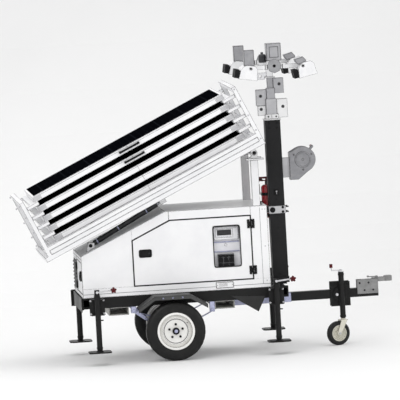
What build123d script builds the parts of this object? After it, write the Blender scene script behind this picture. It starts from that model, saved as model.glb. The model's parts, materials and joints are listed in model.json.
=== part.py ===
from build123d import *
import os
from math import atan2, cos, degrees, hypot, radians, sin

# Solar light-tower trailer. Millimetres. While it is modelled, X = 0 is over the axle and runs forward
# to the hitch, Y runs to the left and Z runs up from the ground. The parts are written with the origin
# on the ground under the middle of the trailer's length.

# Running gear
WHEEL_D = 540
TYRE_W = 120
TYRE_BORE_R = 155
RIM_FLANGE_R = 171.5
RIM_HALF = 50
RIM_LIP = 6
TRACK = 1180
AXLE_TUBE = 50
AXLE_HALF = 480
SPINDLE_R = 20
BEARING_FIT = 0.05
SPRING_Y = 418
SPRING_W = 44
LEAF = 7
EYE_R = 16
BOLT_R = 8
REAR_HANGER = (-360, 465)
REAR_EYE = (-249, 383)
FRONT_EYE = (360, 433)
SPRING_PAD = 8

# Chassis
FRAME_HALF = 445
FRAME_Z = 504
RAIL_DEPTH = 100
RAIL_W = 50
RAIL_WALL = 5
RECEIVER = 76
RECEIVER_WALL = 6
RECEIVER_LIFT = 12
PAIR_SPACING = 80
REAR_JACK_X = -701
FRONT_JACK_X = 940
CROSS_X = (-650, -60, 620)
FORK_X = (-495, 476)
FORK_W = 180
FORK_DEPTH = 72
FORK_WALL = 6
TONGUE = 80
TONGUE_WALL = 6
TONGUE_TAIL = 660
TONGUE_NOSE = 1940
SOCKET_NOSE = 1130
SOCKET_WALL = 6
SKIRT_T = 6
FENDER_Y = 680
FENDER_TOP = 600
FENDER_SHEET = 4
FENDER_LIP = 38

# Outriggers and their screw jacks
SLIDE_FIT = 0.4
JACK_Y = 605
JACK_R = 25.5
JACK_WALL = 4.5
JACK_TOP = 648
FOOT_Z = 115
FOOT_T = 12
FOOT_W = 205
JACK_LEG_TOP = 590
LEG_FIT = 0.3
SCREW_R = 9
SCREW_LOW = 200
CRANK_Z = 668
CRANK_REACH = 150
CRANK_RISE = 14
CRANK_BAR = 8
KNOB_R = 28
KNOB_L = 26

# Tongue jack and caster
SWIVEL = (1587, 463)
SWIVEL_PIN_R = 18
TONGUE_JACK_X = 1594
TONGUE_JACK_Y = -100
TONGUE_JACK_Z = (251, 671)
CASTER_R = 109
CASTER_W = 50
CASTER_TRAIL = 58
CASTER_TURN = 20
CASTER_PIN_R = 8

# Coupler
COUPLER_X = 2036
COUPLER_R = 40
COUPLER_TOP = 604
BALL_BORE_R = 25.5
BALL_BORE_DEPTH = 36

# Cabinet
CAB_HALF = 450
CAB_REAR = -815
CAB_FRONT = 908
CAB_TOP = 1352
CAB_SHOULDER = 988
CAB_KNEE = -28
SHEET = 4
DOOR_X = (-343, 755)
DOOR_Z = (686, 1271)
DOOR_REAR_TOP = 1106
DOOR_KNEE = 5
DOOR_GAP = 5
LATCH_X = (-284, -167)
LATCH_Z = (944, 1016)
DOOR_PAN = 25
HINGE_OUT = 8
HINGE_R = 8
HINGE_PIN_R = 4
REAR_DOOR_Y = (-430, 70)
REAR_DOOR_Z = (640, 930)
POCKET_X = (402, 648)
POCKET_Z = (812, 1188)
POCKET_DEEP = 80

# Solar array, laid out along its own slope: u runs up the slope, w stands square to it
TILT = 25.15
ARRAY_CORNER = (-1133, 966)
ARRAY_LENGTH = 2262
ARRAY_HALF = 600
BASE_LAYERS = (0, 44, 85, 121)
ARRAY_TUBE = 40
POST_TOP = 590
POST_REAR_U = 30
PANEL_U = (161, 2130)
PANEL_HALF = 495
PANEL_H = 55
PANEL_PITCH = 101.6
PANEL_TOP = 581
PANEL_COUNT = 5
FRAME_EDGE = 22
RUNNER_FIT = 0.4
RUNNER_H = 30
RUNNER_REACH = 30
PIVOT = (820, 1836)
PIVOT_R = 15
LUG_R = 24
POST_Y = 420
POST_TUBE = 68

# Actuator under the array
ACT_Y = -300
ACT_BASE = (-712, 1074)
ACT_PIN_R = 9
ACT_TIP_U = 1200
ACT_TIP_DROP = 40
ACT_R = 24
ACT_ROD_R = 12
ACT_CLEAR = 3

# Mast
MAST_X = 1045
MAST_TUBE = (140, 120, 97, 77, 53)
MAST_TOP = (2100, 2155, 2297, 2394, 2488)
MAST_WALL = (5, 5, 4, 4, 4)
MAST_FOOT = 616
MAST_STEP = 12
MAST_FIT = 0.4
SHOE_H = 90
GUIDE_H = 60
HEAD_HALF = 30
HEAD_CHEEK = 6
HEAD_HOLE_R = 12.5
PULLEY_HEADS = {
    1: [(1, 149, (2119, 2290)), (-1, 124, (2144, 2234))],
    2: [(-1, 136, (2236, 2383))],
    3: [(1, 123, (2344, 2483))],
}
COLLAR_Z = (1241, 1311)
WINCH = (1305, 1722)
WINCH_R = 118
WINCH_HALF = 58
WINCH_SHAFT_R = 10

# Light head
HEAD_Z = 2618
HEAD_Y = 480
LAMP_REAR_X = 820
LAMP_FRONT_X = 1297
LAMP_W = 240
LAMP_PIN_R = 6

axle_z = WHEEL_D / 2
frame_top = FRAME_Z + RAIL_DEPTH
receiver_z = FRAME_Z + RECEIVER_LIFT
arm_z = receiver_z + RECEIVER / 2
slope_u = (cos(radians(TILT)), sin(radians(TILT)))
tail_x = ARRAY_CORNER[0] + POST_REAR_U * slope_u[0] - POST_TOP * slope_u[1]
nose_x = COUPLER_X + COUPLER_R
MID_X = (tail_x + nose_x) / 2


def block(x, y, z):
    """A box given by its low and high value along each axis."""
    spans = (x, y, z)
    centre = [(low + high) / 2 for low, high in spans]
    return Pos(*centre) * Box(*[high - low for low, high in spans])


def rod(start, end, radius):
    """A round bar between two points."""
    run = Vector(*end) - Vector(*start)
    return extrude(Plane(origin=start, z_dir=run) * Circle(radius), run.length)


def pipe(start, end, radius, bore):
    return rod(start, end, radius) - rod(start, end, bore)


def box_tube(x, y, z, wall, along):
    """A square tube, open at both ends, along one axis."""
    spans = {"x": x, "y": y, "z": z}
    inner = [
        (low, high) if axis == along else (low + wall, high - wall) for axis, (low, high) in spans.items()
    ]
    return block(x, y, z) - block(*inner)


def side_plate(points, y):
    """A flat plate between two Y values, whose outline is given in X and Z."""
    return Pos(0, y[1], 0) * extrude(Plane.XZ * Polygon(*points, align=None), y[1] - y[0], dir=(0, -1, 0))


def link(start, end, radius, y):
    """A flat bar with round ends between two points of X and Z."""
    run = (end[0] - start[0], end[1] - start[1])
    middle = ((start[0] + end[0]) / 2, (start[1] + end[1]) / 2)
    slot = SlotCenterToCenter(hypot(*run), 2 * radius, rotation=degrees(atan2(run[1], run[0])))
    return Pos(0, y[1], 0) * extrude(Plane.XZ * (Pos(*middle) * slot), y[1] - y[0], dir=(0, -1, 0))


def cross_rod(point, y, radius):
    """A round bar along Y at a point of X and Z."""
    return rod((point[0], y[0], point[1]), (point[0], y[1], point[1]), radius)


def both_sides(pieces):
    """The pieces and their mirror images on the other side of the trailer."""
    return list(pieces) + [mirror(piece, about=Plane.XZ) for piece in pieces]


def save(name, *pieces):
    """Writes the pieces as one named node."""
    solids = [solid for piece in pieces for solid in piece.solids()]
    export_step(Pos(-MID_X, 0, 0) * Compound(solids), f"parts/{name}.step")


os.makedirs("parts", exist_ok=True)


# ---------------------------------------------------------------- chassis

jack_places = {
    "right_rear": (REAR_JACK_X, -1),
    "left_rear": (REAR_JACK_X - PAIR_SPACING, 1),
    "right_front": (FRONT_JACK_X, -1),
    "left_front": (FRONT_JACK_X + PAIR_SPACING, 1),
}
rail_ends = (
    jack_places["left_rear"][0] - RECEIVER / 2 - 8,
    jack_places["left_front"][0] + RECEIVER / 2 + 8,
)


def receiver_box(x, wall=0):
    """The space of a receiver tube, or of its bore when a wall is given."""
    half = RECEIVER / 2 - wall
    return block((x - half, x + half), (-FRAME_HALF, FRAME_HALF), (arm_z - half, arm_z + half))


receivers = [receiver_box(x) - receiver_box(x, RECEIVER_WALL) for x, side in jack_places.values()]

rail = box_tube(
    rail_ends, (FRAME_HALF - RAIL_W, FRAME_HALF), (FRAME_Z, frame_top), RAIL_WALL, "x"
)
for x, side in jack_places.values():
    rail -= receiver_box(x)
skirt_points = [(526, 547), (782, 385), (854, 526)]
skirt = side_plate(skirt_points, (FRAME_HALF, FRAME_HALF + SKIRT_T))
save("side_rails", *both_sides([rail, skirt]))

cross_tubes = [
    box_tube(
        (x, x + RAIL_W), (-FRAME_HALF + RAIL_W, FRAME_HALF - RAIL_W), (FRAME_Z, frame_top), RAIL_WALL, "y"
    )
    for x in CROSS_X
]
tail_plate = block((rail_ends[0] - 6, rail_ends[0]), (-FRAME_HALF, FRAME_HALF), (FRAME_Z - 26, frame_top))
save("cross_members", *receivers, *cross_tubes, tail_plate)

pocket_plates = []
for x in FORK_X:
    low, high = x - FORK_W / 2, x + FORK_W / 2
    floor = FRAME_Z - FORK_DEPTH
    width = (-FRAME_HALF, FRAME_HALF)
    pocket_plates += [
        block((low, high), width, (FRAME_Z - FORK_WALL, FRAME_Z)),
        block((low, high), width, (floor, floor + FORK_WALL)),
        block((low, low + FORK_WALL), width, (floor + FORK_WALL, FRAME_Z - FORK_WALL)),
        block((high - FORK_WALL, high), width, (floor + FORK_WALL, FRAME_Z - FORK_WALL)),
    ]
save("fork_pockets", *pocket_plates)

tongue_z = (FRAME_Z - TONGUE, FRAME_Z)
tongue_tube = box_tube((TONGUE_TAIL, TONGUE_NOSE), (-TONGUE / 2, TONGUE / 2), tongue_z, TONGUE_WALL, "x")
plate_x = (SWIVEL[0] - 90, SWIVEL[0] + 90)
plate_z = (SWIVEL[1] - 112, SWIVEL[1] + 113)
plate_t = 8
bolt_inset = 15
plate_bolts = [
    (x, z)
    for x in (plate_x[0] + bolt_inset, plate_x[1] - bolt_inset)
    for z in (plate_z[0] + bolt_inset, plate_z[1] - bolt_inset)
]
jack_plates = []
for y in ((-TONGUE / 2 - plate_t, -TONGUE / 2), (TONGUE / 2, TONGUE / 2 + plate_t)):
    plate = block(plate_x, y, plate_z)
    for spot in plate_bolts:
        plate -= cross_rod(spot, (y[0] - 1, y[1] + 1), BOLT_R)
    jack_plates.append(plate)
plate_face = -TONGUE / 2 - plate_t
plate_studs = []
for spot in plate_bolts:
    shank = cross_rod(spot, (plate_face, TONGUE / 2 + plate_t), BOLT_R)
    head = cross_rod(spot, (plate_face - 7, plate_face), BOLT_R + 5)
    nut = cross_rod(spot, (TONGUE / 2 + plate_t, TONGUE / 2 + plate_t + 9), BOLT_R + 5)
    plate_studs.append(shank + head + nut)
swivel_boss = cross_rod(SWIVEL, (plate_face - 20, plate_face), 45)
swivel_pin = cross_rod(SWIVEL, (plate_face - 26.3, plate_face - 20), SWIVEL_PIN_R)
save("tongue_beam", tongue_tube, *jack_plates, *plate_studs, swivel_boss + swivel_pin)

socket_x = (FORK_X[1] + FORK_W / 2, SOCKET_NOSE)
socket_plate = block(
    socket_x, (TONGUE / 2, TONGUE / 2 + SOCKET_WALL), (FRAME_Z - TONGUE - SOCKET_WALL, FRAME_Z)
)
spring_side = SPRING_W / 2 + 0.2
shackle_t = 5
hangers = []
for place, inside, drop in ((REAR_HANGER, spring_side + shackle_t, 22), (FRONT_EYE, spring_side, 22)):
    for side in (-1, 1):
        near = SPRING_Y + side * inside
        far = SPRING_Y + side * (inside + 6)
        ear = block((place[0] - 22, place[0] + 22), sorted((near, far)), (place[1] - drop, FRAME_Z))
        hangers.append(ear - cross_rod(place, (SPRING_Y - 60, SPRING_Y + 60), BOLT_R))
save("frame_brackets", *both_sides([socket_plate, *hangers]))


# ---------------------------------------------------------------- axle, springs, fenders

axle_span = (-AXLE_TUBE / 2, AXLE_TUBE / 2)
axle_tube = block(axle_span, (-AXLE_HALF, AXLE_HALF), (axle_z - AXLE_TUBE / 2, axle_z + AXLE_TUBE / 2))
hub_end = TRACK / 2 + 24
spindle = cross_rod((0, axle_z), (AXLE_HALF, hub_end), SPINDLE_R)
save("axle_beam", axle_tube + spindle + mirror(spindle, about=Plane.XZ))


def circle_through(a, b, c):
    """Centre and radius of the circle through three points."""
    d = 2 * (a[0] * (b[1] - c[1]) + b[0] * (c[1] - a[1]) + c[0] * (a[1] - b[1]))
    squares = [p[0] ** 2 + p[1] ** 2 for p in (a, b, c)]
    x = (squares[0] * (b[1] - c[1]) + squares[1] * (c[1] - a[1]) + squares[2] * (a[1] - b[1])) / d
    z = (squares[0] * (c[0] - b[0]) + squares[1] * (a[0] - c[0]) + squares[2] * (b[0] - a[0])) / d
    return (x, z), hypot(a[0] - x, a[1] - z)


leaf_count = 3
pad_top = axle_z + AXLE_TUBE / 2 + SPRING_PAD
eye_line = pad_top + EYE_R + (leaf_count - 1) * LEAF
bend, bend_r = circle_through(REAR_EYE, (0, eye_line), FRONT_EYE)
spring_y = (SPRING_Y - SPRING_W / 2, SPRING_Y + SPRING_W / 2)
leaves = []
for number in range(leaf_count):
    inner_r = bend_r + EYE_R - LEAF + number * LEAF
    shrink = 1 - 0.28 * number
    reach = (REAR_EYE[0] * shrink, FRONT_EYE[0] * shrink)
    band = cross_rod(bend, spring_y, inner_r + LEAF) - cross_rod(bend, spring_y, inner_r)
    leaf = band & block(reach, spring_y, (pad_top - 20, REAR_HANGER[1]))
    if number == 0:
        for eye in (REAR_EYE, FRONT_EYE):
            leaf += cross_rod(eye, spring_y, EYE_R)
        for eye in (REAR_EYE, FRONT_EYE):
            leaf -= cross_rod(eye, spring_y, BOLT_R)
    leaves.append(leaf)
clamp_y = (SPRING_Y - SPRING_W / 2 - 16, SPRING_Y + SPRING_W / 2 + 16)
clamp_x = (-AXLE_TUBE / 2 - 17, AXLE_TUBE / 2 + 17)
axle_top = axle_z + AXLE_TUBE / 2
outermost = cross_rod(bend, (clamp_y[0], clamp_y[1]), bend_r + EYE_R + (leaf_count - 1) * LEAF)
pad = block(axle_span, spring_y, (axle_top, pad_top + 6)) - outermost
innermost = cross_rod(bend, (clamp_y[0], clamp_y[1]), bend_r + EYE_R - LEAF)
clamp_low = eye_line - EYE_R + LEAF
saddle = block(axle_span, spring_y, (clamp_low - 4, clamp_low + 8)) & innermost
top_plate = block(clamp_x, clamp_y, (clamp_low + 8, clamp_low + 16))
low_plate = block(clamp_x, clamp_y, (axle_z - AXLE_TUBE / 2 - 8, axle_z - AXLE_TUBE / 2))
u_bolts = [
    rod((x, y, axle_z - AXLE_TUBE / 2), (x, y, clamp_low + 8), 5)
    for x in (clamp_x[0] + 8, clamp_x[1] - 8)
    for y in (clamp_y[0] + 6, clamp_y[1] - 6)
]
shackles = []
for side in (-1, 1):
    near = SPRING_Y + side * (spring_side - 0.2)
    far = SPRING_Y + side * (spring_side - 0.2 + shackle_t)
    bar = link(REAR_HANGER, REAR_EYE, EYE_R, sorted((near, far)))
    for spot in (REAR_HANGER, REAR_EYE):
        bar -= cross_rod(spot, (SPRING_Y - 60, SPRING_Y + 60), BOLT_R)
    shackles.append(bar)


def spring_bolt(spot, half):
    """A bolt through an eye, with its head and nut."""
    shank = cross_rod(spot, (SPRING_Y - half, SPRING_Y + half), BOLT_R)
    head = cross_rod(spot, (SPRING_Y + half, SPRING_Y + half + 8), BOLT_R + 5)
    nut = cross_rod(spot, (SPRING_Y - half - 8, SPRING_Y - half), BOLT_R + 5)
    return shank + head + nut


spring_bolts = [
    spring_bolt(REAR_HANGER, spring_side + shackle_t + 6),
    spring_bolt(FRONT_EYE, spring_side + 6),
    spring_bolt(REAR_EYE, spring_side - 0.2 + shackle_t),
]
spring_pieces = [*leaves, pad, saddle, top_plate, low_plate, *u_bolts, *shackles, *spring_bolts]
save("leaf_springs", *both_sides(spring_pieces))

fender_line = [(-334, 494), (-181, FENDER_TOP), (144, FENDER_TOP), (301, 506)]
fender_under = [(x, z - FENDER_SHEET) for x, z in reversed(fender_line)]
fender_lip = [(x, z - FENDER_LIP) for x, z in reversed(fender_line)]
fender = side_plate(fender_line + fender_under, (FRAME_HALF, FENDER_Y - FENDER_SHEET))
fender += side_plate(fender_line + fender_lip, (FENDER_Y - FENDER_SHEET, FENDER_Y))
save("fenders", *both_sides([fender]))


# ---------------------------------------------------------------- wheels, modelled on the left side


def revolve_y(face):
    """A ring about the wheel's axis from a section drawn in Y and radius."""
    ring = revolve(Plane.YZ * face, Axis.Y)
    return Pos(0, TRACK / 2, axle_z) * ring


def tyre_section():
    """Half round shoulders and a bulged side wall, drawn as one closed line."""
    tread_r = WHEEL_D / 2
    half = TYRE_W / 2
    bead = RIM_HALF
    outer = [
        Line((bead, TYRE_BORE_R), (bead, RIM_FLANGE_R)),
        ThreePointArc((bead, RIM_FLANGE_R), (half, 214), (half - 10, 252)),
        ThreePointArc((half - 10, 252), (half - 14, tread_r - 5), (half - 24, tread_r)),
        Line((half - 24, tread_r), (24 - half, tread_r)),
        ThreePointArc((24 - half, tread_r), (14 - half, tread_r - 5), (10 - half, 252)),
        ThreePointArc((10 - half, 252), (-half, 214), (-bead, RIM_FLANGE_R)),
        Line((-bead, RIM_FLANGE_R), (-bead, TYRE_BORE_R)),
        Line((-bead, TYRE_BORE_R), (bead, TYRE_BORE_R)),
    ]
    cavity = Pos(0, 208) * RectangleRounded(TYRE_W - 22, 86, 30)
    mouth = Pos(0, TYRE_BORE_R + 10) * Rectangle(2 * RIM_HALF - 28, 40)
    return make_face(outer) - cavity - mouth


def rim_section():
    """The drop barrel with its two flanges and the dished disc."""
    barrel_r = TYRE_BORE_R - 5
    barrel = Polygon(
        (-RIM_HALF - RIM_LIP, barrel_r), (RIM_HALF + RIM_LIP, barrel_r),
        (RIM_HALF + RIM_LIP, RIM_FLANGE_R), (RIM_HALF, RIM_FLANGE_R), (RIM_HALF, TYRE_BORE_R),
        (-RIM_HALF, TYRE_BORE_R), (-RIM_HALF, RIM_FLANGE_R), (-RIM_HALF - RIM_LIP, RIM_FLANGE_R),
        align=None,
    )
    disc = Polygon(
        (21, 32), (27, 32), (27, 108), (34, 116), (34, 122), (12, barrel_r), (4, barrel_r), (27, 121),
        (21, 112), align=None,
    )
    return barrel + disc


lug_circle = 63
lug_r = 7
hub_r = 31.5
tyre = revolve_y(tyre_section())
rim = revolve_y(rim_section())
lug_nuts = []
for number in range(5):
    turn = radians(90 + 72 * number)
    spot = (lug_circle * cos(turn), axle_z + lug_circle * sin(turn))
    rim -= cross_rod(spot, (TRACK / 2 + 15, TRACK / 2 + 35), lug_r)
    nut = extrude(Plane((spot[0], TRACK / 2 + 41, spot[1]), z_dir=(0, -1, 0)) * RegularPolygon(11, 6), 14)
    stud = cross_rod(spot, (TRACK / 2 + 21, TRACK / 2 + 27), lug_r)
    lug_nuts.append(nut + stud)
hub = cross_rod((0, axle_z), (TRACK / 2 - 60, TRACK / 2 + 21), 74)
hub += cross_rod((0, axle_z), (TRACK / 2 + 21, TRACK / 2 + 46), hub_r)
hub -= cross_rod((0, axle_z), (TRACK / 2 - 60, hub_end + 2), SPINDLE_R + BEARING_FIT)
for side in ("left", "right"):
    rim_pieces = [rim, hub, *lug_nuts]
    tyre_piece = tyre
    if side == "right":
        rim_pieces = [mirror(piece, about=Plane.XZ) for piece in rim_pieces]
        tyre_piece = mirror(tyre, about=Plane.XZ)
    save(f"{side}_tyre", tyre_piece)
    save(f"{side}_rim", *rim_pieces)


# ---------------------------------------------------------------- outriggers and screw jacks

arm_half = RECEIVER / 2 - RECEIVER_WALL - SLIDE_FIT
bracket_back = JACK_Y - JACK_R - 8
bracket_z = (FRAME_Z - 50, frame_top)
leg_r = JACK_R - JACK_WALL - LEG_FIT
foot_top = FOOT_Z + FOOT_T
tube_bottom = foot_top + 10
spindle_r = 6
gear_half = 22
gear_z = (JACK_TOP, 2 * CRANK_Z - JACK_TOP)
crank_bore_y = (JACK_Y - 14, JACK_Y + gear_half)
crank_y = (JACK_Y + JACK_R + 4, JACK_Y + JACK_R + 4 + CRANK_BAR)


def outrigger(x):
    """The sliding arm, its end bracket and the jack's outer tube, on the left side."""
    arm = box_tube(
        (x - arm_half, x + arm_half),
        (-FRAME_HALF + 90, bracket_back - 8),
        (arm_z - arm_half, arm_z + arm_half),
        5, "y",
    )
    back = block((x - 70, x + 70), (bracket_back - 8, bracket_back), bracket_z)
    shelf_y = (bracket_back, JACK_Y + 12)
    tube_hole = rod((x, JACK_Y, FOOT_Z), (x, JACK_Y, JACK_TOP), JACK_R)
    bracket = back
    for z in (bracket_z[0], bracket_z[1] - 8):
        bracket += block((x - 58, x + 58), shelf_y, (z, z + 8)) - tube_hole
    tube = pipe((x, JACK_Y, tube_bottom), (x, JACK_Y, JACK_TOP), JACK_R, JACK_R - JACK_WALL)
    cap = block((x - gear_half, x + gear_half), (JACK_Y - gear_half, JACK_Y + gear_half), gear_z)
    cap = fillet(cap.edges().filter_by(Axis.Z), 6)
    cap -= cross_rod((x, CRANK_Z), crank_bore_y, spindle_r + BEARING_FIT)
    pin = rod((x + JACK_R * 0.9, JACK_Y, 410), (x + JACK_R + 22, JACK_Y, 410), 6)
    pin -= rod((x, JACK_Y, 390), (x, JACK_Y, 430), JACK_R)
    screw = rod((x, JACK_Y, SCREW_LOW), (x, JACK_Y, JACK_TOP), SCREW_R)
    return [arm, bracket, tube, cap, pin, screw]


def jack_leg(x):
    """The inner tube, closed at its foot, with the square foot plate."""
    leg = pipe((x, JACK_Y, foot_top), (x, JACK_Y, JACK_LEG_TOP), leg_r, leg_r - 4)
    leg += pipe((x, JACK_Y, JACK_LEG_TOP - 20), (x, JACK_Y, JACK_LEG_TOP), leg_r - 3, SCREW_R + LEG_FIT)
    half = FOOT_W / 2
    foot = block((x - half, x + half), (JACK_Y - half, JACK_Y + half), (FOOT_Z, foot_top))
    foot = chamfer(foot.edges().filter_by(Axis.Z), 30)
    return [leg, foot]


def jack_crank(x):
    """The cross shaft of the jack's gear head, the crank arm and its star knob."""
    shaft = cross_rod((x, CRANK_Z), (crank_bore_y[0] + 2, crank_y[1]), spindle_r)
    boss = cross_rod((x, CRANK_Z), (crank_bore_y[1] + 1, crank_y[1] + 4), 12)
    knob_at = (x + CRANK_REACH, CRANK_Z + CRANK_RISE)
    arm = link((x, CRANK_Z), knob_at, 7, crank_y)
    knob_y = (crank_y[1], crank_y[1] + KNOB_L)
    lobe_r = KNOB_R / 3
    core_r = KNOB_R - lobe_r
    knob = cross_rod(knob_at, knob_y, core_r)
    for number in range(5):
        turn = radians(90 + 72 * number)
        lobe_at = (knob_at[0] + core_r * cos(turn), knob_at[1] + core_r * sin(turn))
        knob += cross_rod(lobe_at, knob_y, lobe_r)
    return [shaft + boss + arm, knob]


for place, (x, side) in jack_places.items():
    groups = {"outrigger": outrigger(x), "jack_leg": jack_leg(x), "jack_crank": jack_crank(x)}
    for kind, pieces in groups.items():
        if side < 0:
            pieces = [mirror(piece, about=Plane.XZ) for piece in pieces]
        save(f"{place}_{kind}", *pieces)


# ---------------------------------------------------------------- tongue jack and caster

jack_at = (TONGUE_JACK_X, TONGUE_JACK_Y)
disc_face = plate_face - 20 - 0.3
disc_back = TONGUE_JACK_Y + JACK_R
swivel_disc = cross_rod(SWIVEL, (disc_back, disc_face), 68)
swivel_disc -= cross_rod(SWIVEL, (disc_back - 1, disc_face + 1), SWIVEL_PIN_R + BEARING_FIT)
tube_low, tube_high = TONGUE_JACK_Z
saddle_z = (SWIVEL[1] - 60, SWIVEL[1] + 60)
saddle_block = block((jack_at[0] - 22, jack_at[0] + 22), (jack_at[1] + 6, disc_back), saddle_z)
saddle_block -= rod((*jack_at, tube_low), (*jack_at, tube_high), JACK_R)
saddle_block -= cross_rod(SWIVEL, (disc_back - 2.5, disc_face), SWIVEL_PIN_R + 1)
jack_tube = pipe((*jack_at, tube_low), (*jack_at, tube_high), JACK_R, JACK_R - JACK_WALL)
jack_cap = pipe((*jack_at, tube_high), (*jack_at, tube_high + 6), JACK_R + 1.5, spindle_r + BEARING_FIT)
save("tongue_jack_tube", swivel_disc + saddle_block, jack_tube, jack_cap)

boss_top = tube_low - 8
leg_top = tube_high - 70
pin_depth = 20
leg = rod((*jack_at, boss_top), (*jack_at, leg_top), leg_r)
leg -= rod((*jack_at, boss_top), (*jack_at, boss_top + pin_depth), CASTER_PIN_R + BEARING_FIT)
save("tongue_jack_leg", leg)

crank_low = tube_high + 7
shaft = rod((*jack_at, leg_top + 10), (*jack_at, crank_low), spindle_r)
head = rod((*jack_at, crank_low), (*jack_at, crank_low + 16), 12)
bar_z = (crank_low + 4, crank_low + 12)
crank_arm = block((jack_at[0] - 88, jack_at[0]), (jack_at[1] - 6, jack_at[1] + 6), bar_z)
knob_foot = (jack_at[0] - 88, jack_at[1], bar_z[1] + 22)
knob_top = (jack_at[0] - 88, jack_at[1], bar_z[1] + 56)
crank_arm += rod((jack_at[0] - 82, jack_at[1], bar_z[1]), knob_foot, 5)
tongue_knob = rod(knob_foot, knob_top, 15)
save("tongue_jack_crank", shaft + head + crank_arm, tongue_knob)

caster_turn = Pos(*jack_at, 0) * Rot(0, 0, CASTER_TURN)
hub_at = (-CASTER_TRAIL, CASTER_R)
cheek_y = CASTER_W / 2 + 4
fork_top = 2 * CASTER_R + 14
fork_plate = block((-40, 30), (-cheek_y - 5, cheek_y + 5), (fork_top - 8, fork_top))
fork_boss = rod((0, 0, fork_top), (0, 0, boss_top - 0.3), 23)
kingpin = rod((0, 0, boss_top - 0.3), (0, 0, boss_top + pin_depth - 2), CASTER_PIN_R)
fork = fork_plate + fork_boss + kingpin
for side in (-1, 1):
    y = sorted((side * cheek_y, side * (cheek_y + 5)))
    cheek_foot = [(hub_at[0] + 20, CASTER_R), (hub_at[0] - 20, CASTER_R)]
    cheek = side_plate([(-36, fork_top - 8), (26, fork_top - 8), *cheek_foot], y)
    cheek += cross_rod(hub_at, y, 20)
    fork += cheek
fork += cross_rod(hub_at, (-cheek_y - 12, cheek_y + 12), CASTER_PIN_R)
save("caster_fork", caster_turn * fork)


def caster_ring(outer_r, inner_r, half, lip=0):
    """A ring about the caster's axle, with chamfered corners where a lip is given."""
    points = [
        (-half, inner_r), (half, inner_r), (half, outer_r - lip), (half - lip, outer_r),
        (lip - half, outer_r), (-half, outer_r - lip),
    ]
    if lip == 0:
        points = [(-half, inner_r), (half, inner_r), (half, outer_r), (-half, outer_r)]
    return revolve(Plane.YZ * Polygon(*points, align=None), Axis.Y)


caster_tyre = caster_ring(CASTER_R, 74, CASTER_W / 2, 10)
caster_core = caster_ring(74, 66, CASTER_W / 2 - 3) + caster_ring(66, 22, 6)
caster_core += caster_ring(22, CASTER_PIN_R + BEARING_FIT, CASTER_W / 2 + 3)
wheel_place = caster_turn * Pos(-CASTER_TRAIL, 0, CASTER_R)
save("caster_wheel", *[wheel_place * piece for piece in (caster_tyre, caster_core)])


# ---------------------------------------------------------------- coupler

side_t = 6
coupler_plate_x = (TONGUE_NOSE - 194, TONGUE_NOSE)
coupler_bolts = [(1770, 548), (1852, 548), (1812, 480), (1893, 480)]
cheeks = []
for side in (-1, 1):
    y = sorted((side * TONGUE / 2, side * (TONGUE / 2 + side_t)))
    cheek = block(coupler_plate_x, y, (449, 580))
    for spot in coupler_bolts:
        cheek -= cross_rod(spot, (y[0] - 1, y[1] + 1), BOLT_R - 2)
    cheeks.append(cheek)
channel = box_tube((1790, TONGUE_NOSE), (-TONGUE / 2, TONGUE / 2), (FRAME_Z, 580), side_t, "x")
head_z = COUPLER_TOP - BALL_BORE_DEPTH - 14
neck = block((1890, COUPLER_X), (-28, 28), (580, COUPLER_TOP - 14))
neck += block((TONGUE_NOSE, COUPLER_X), (-28, 28), (head_z, COUPLER_TOP - 10))
dome = rod((COUPLER_X, 0, head_z), (COUPLER_X, 0, COUPLER_TOP), COUPLER_R)
dome = fillet(dome.edges().sort_by(Axis.Z)[-1], 10)
coupler_head = neck + dome
coupler_head -= rod((COUPLER_X, 0, head_z), (COUPLER_X, 0, head_z + BALL_BORE_DEPTH), BALL_BORE_R)
latch_pin_at = (1936, COUPLER_TOP - 4)
for side in (-1, 1):
    y = sorted((side * 15, side * 20))
    coupler_head += block((1928, 1944), y, (COUPLER_TOP - 14, COUPLER_TOP + 2))
coupler_head += cross_rod(latch_pin_at, (-20, 20), 4)
save("coupler_body", *cheeks, channel, coupler_head)

lever = block((1858, 1936), (-14, 14), (COUPLER_TOP - 9, COUPLER_TOP - 1))
lever += cross_rod(latch_pin_at, (-14, 14), 7)
lever += block((1846, 1862), (-14, 14), (COUPLER_TOP - 9, COUPLER_TOP + 6))
lever -= cross_rod(latch_pin_at, (-14, 14), 4 + BEARING_FIT)
save("coupler_latch", lever)


# ---------------------------------------------------------------- cabinet


def roof_z(x):
    """Outer height of the cabinet's roof at a place along its length."""
    rise = (CAB_TOP - CAB_SHOULDER) / (CAB_KNEE - CAB_REAR)
    return min(CAB_TOP, CAB_SHOULDER + (x - CAB_REAR) * rise)


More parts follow.
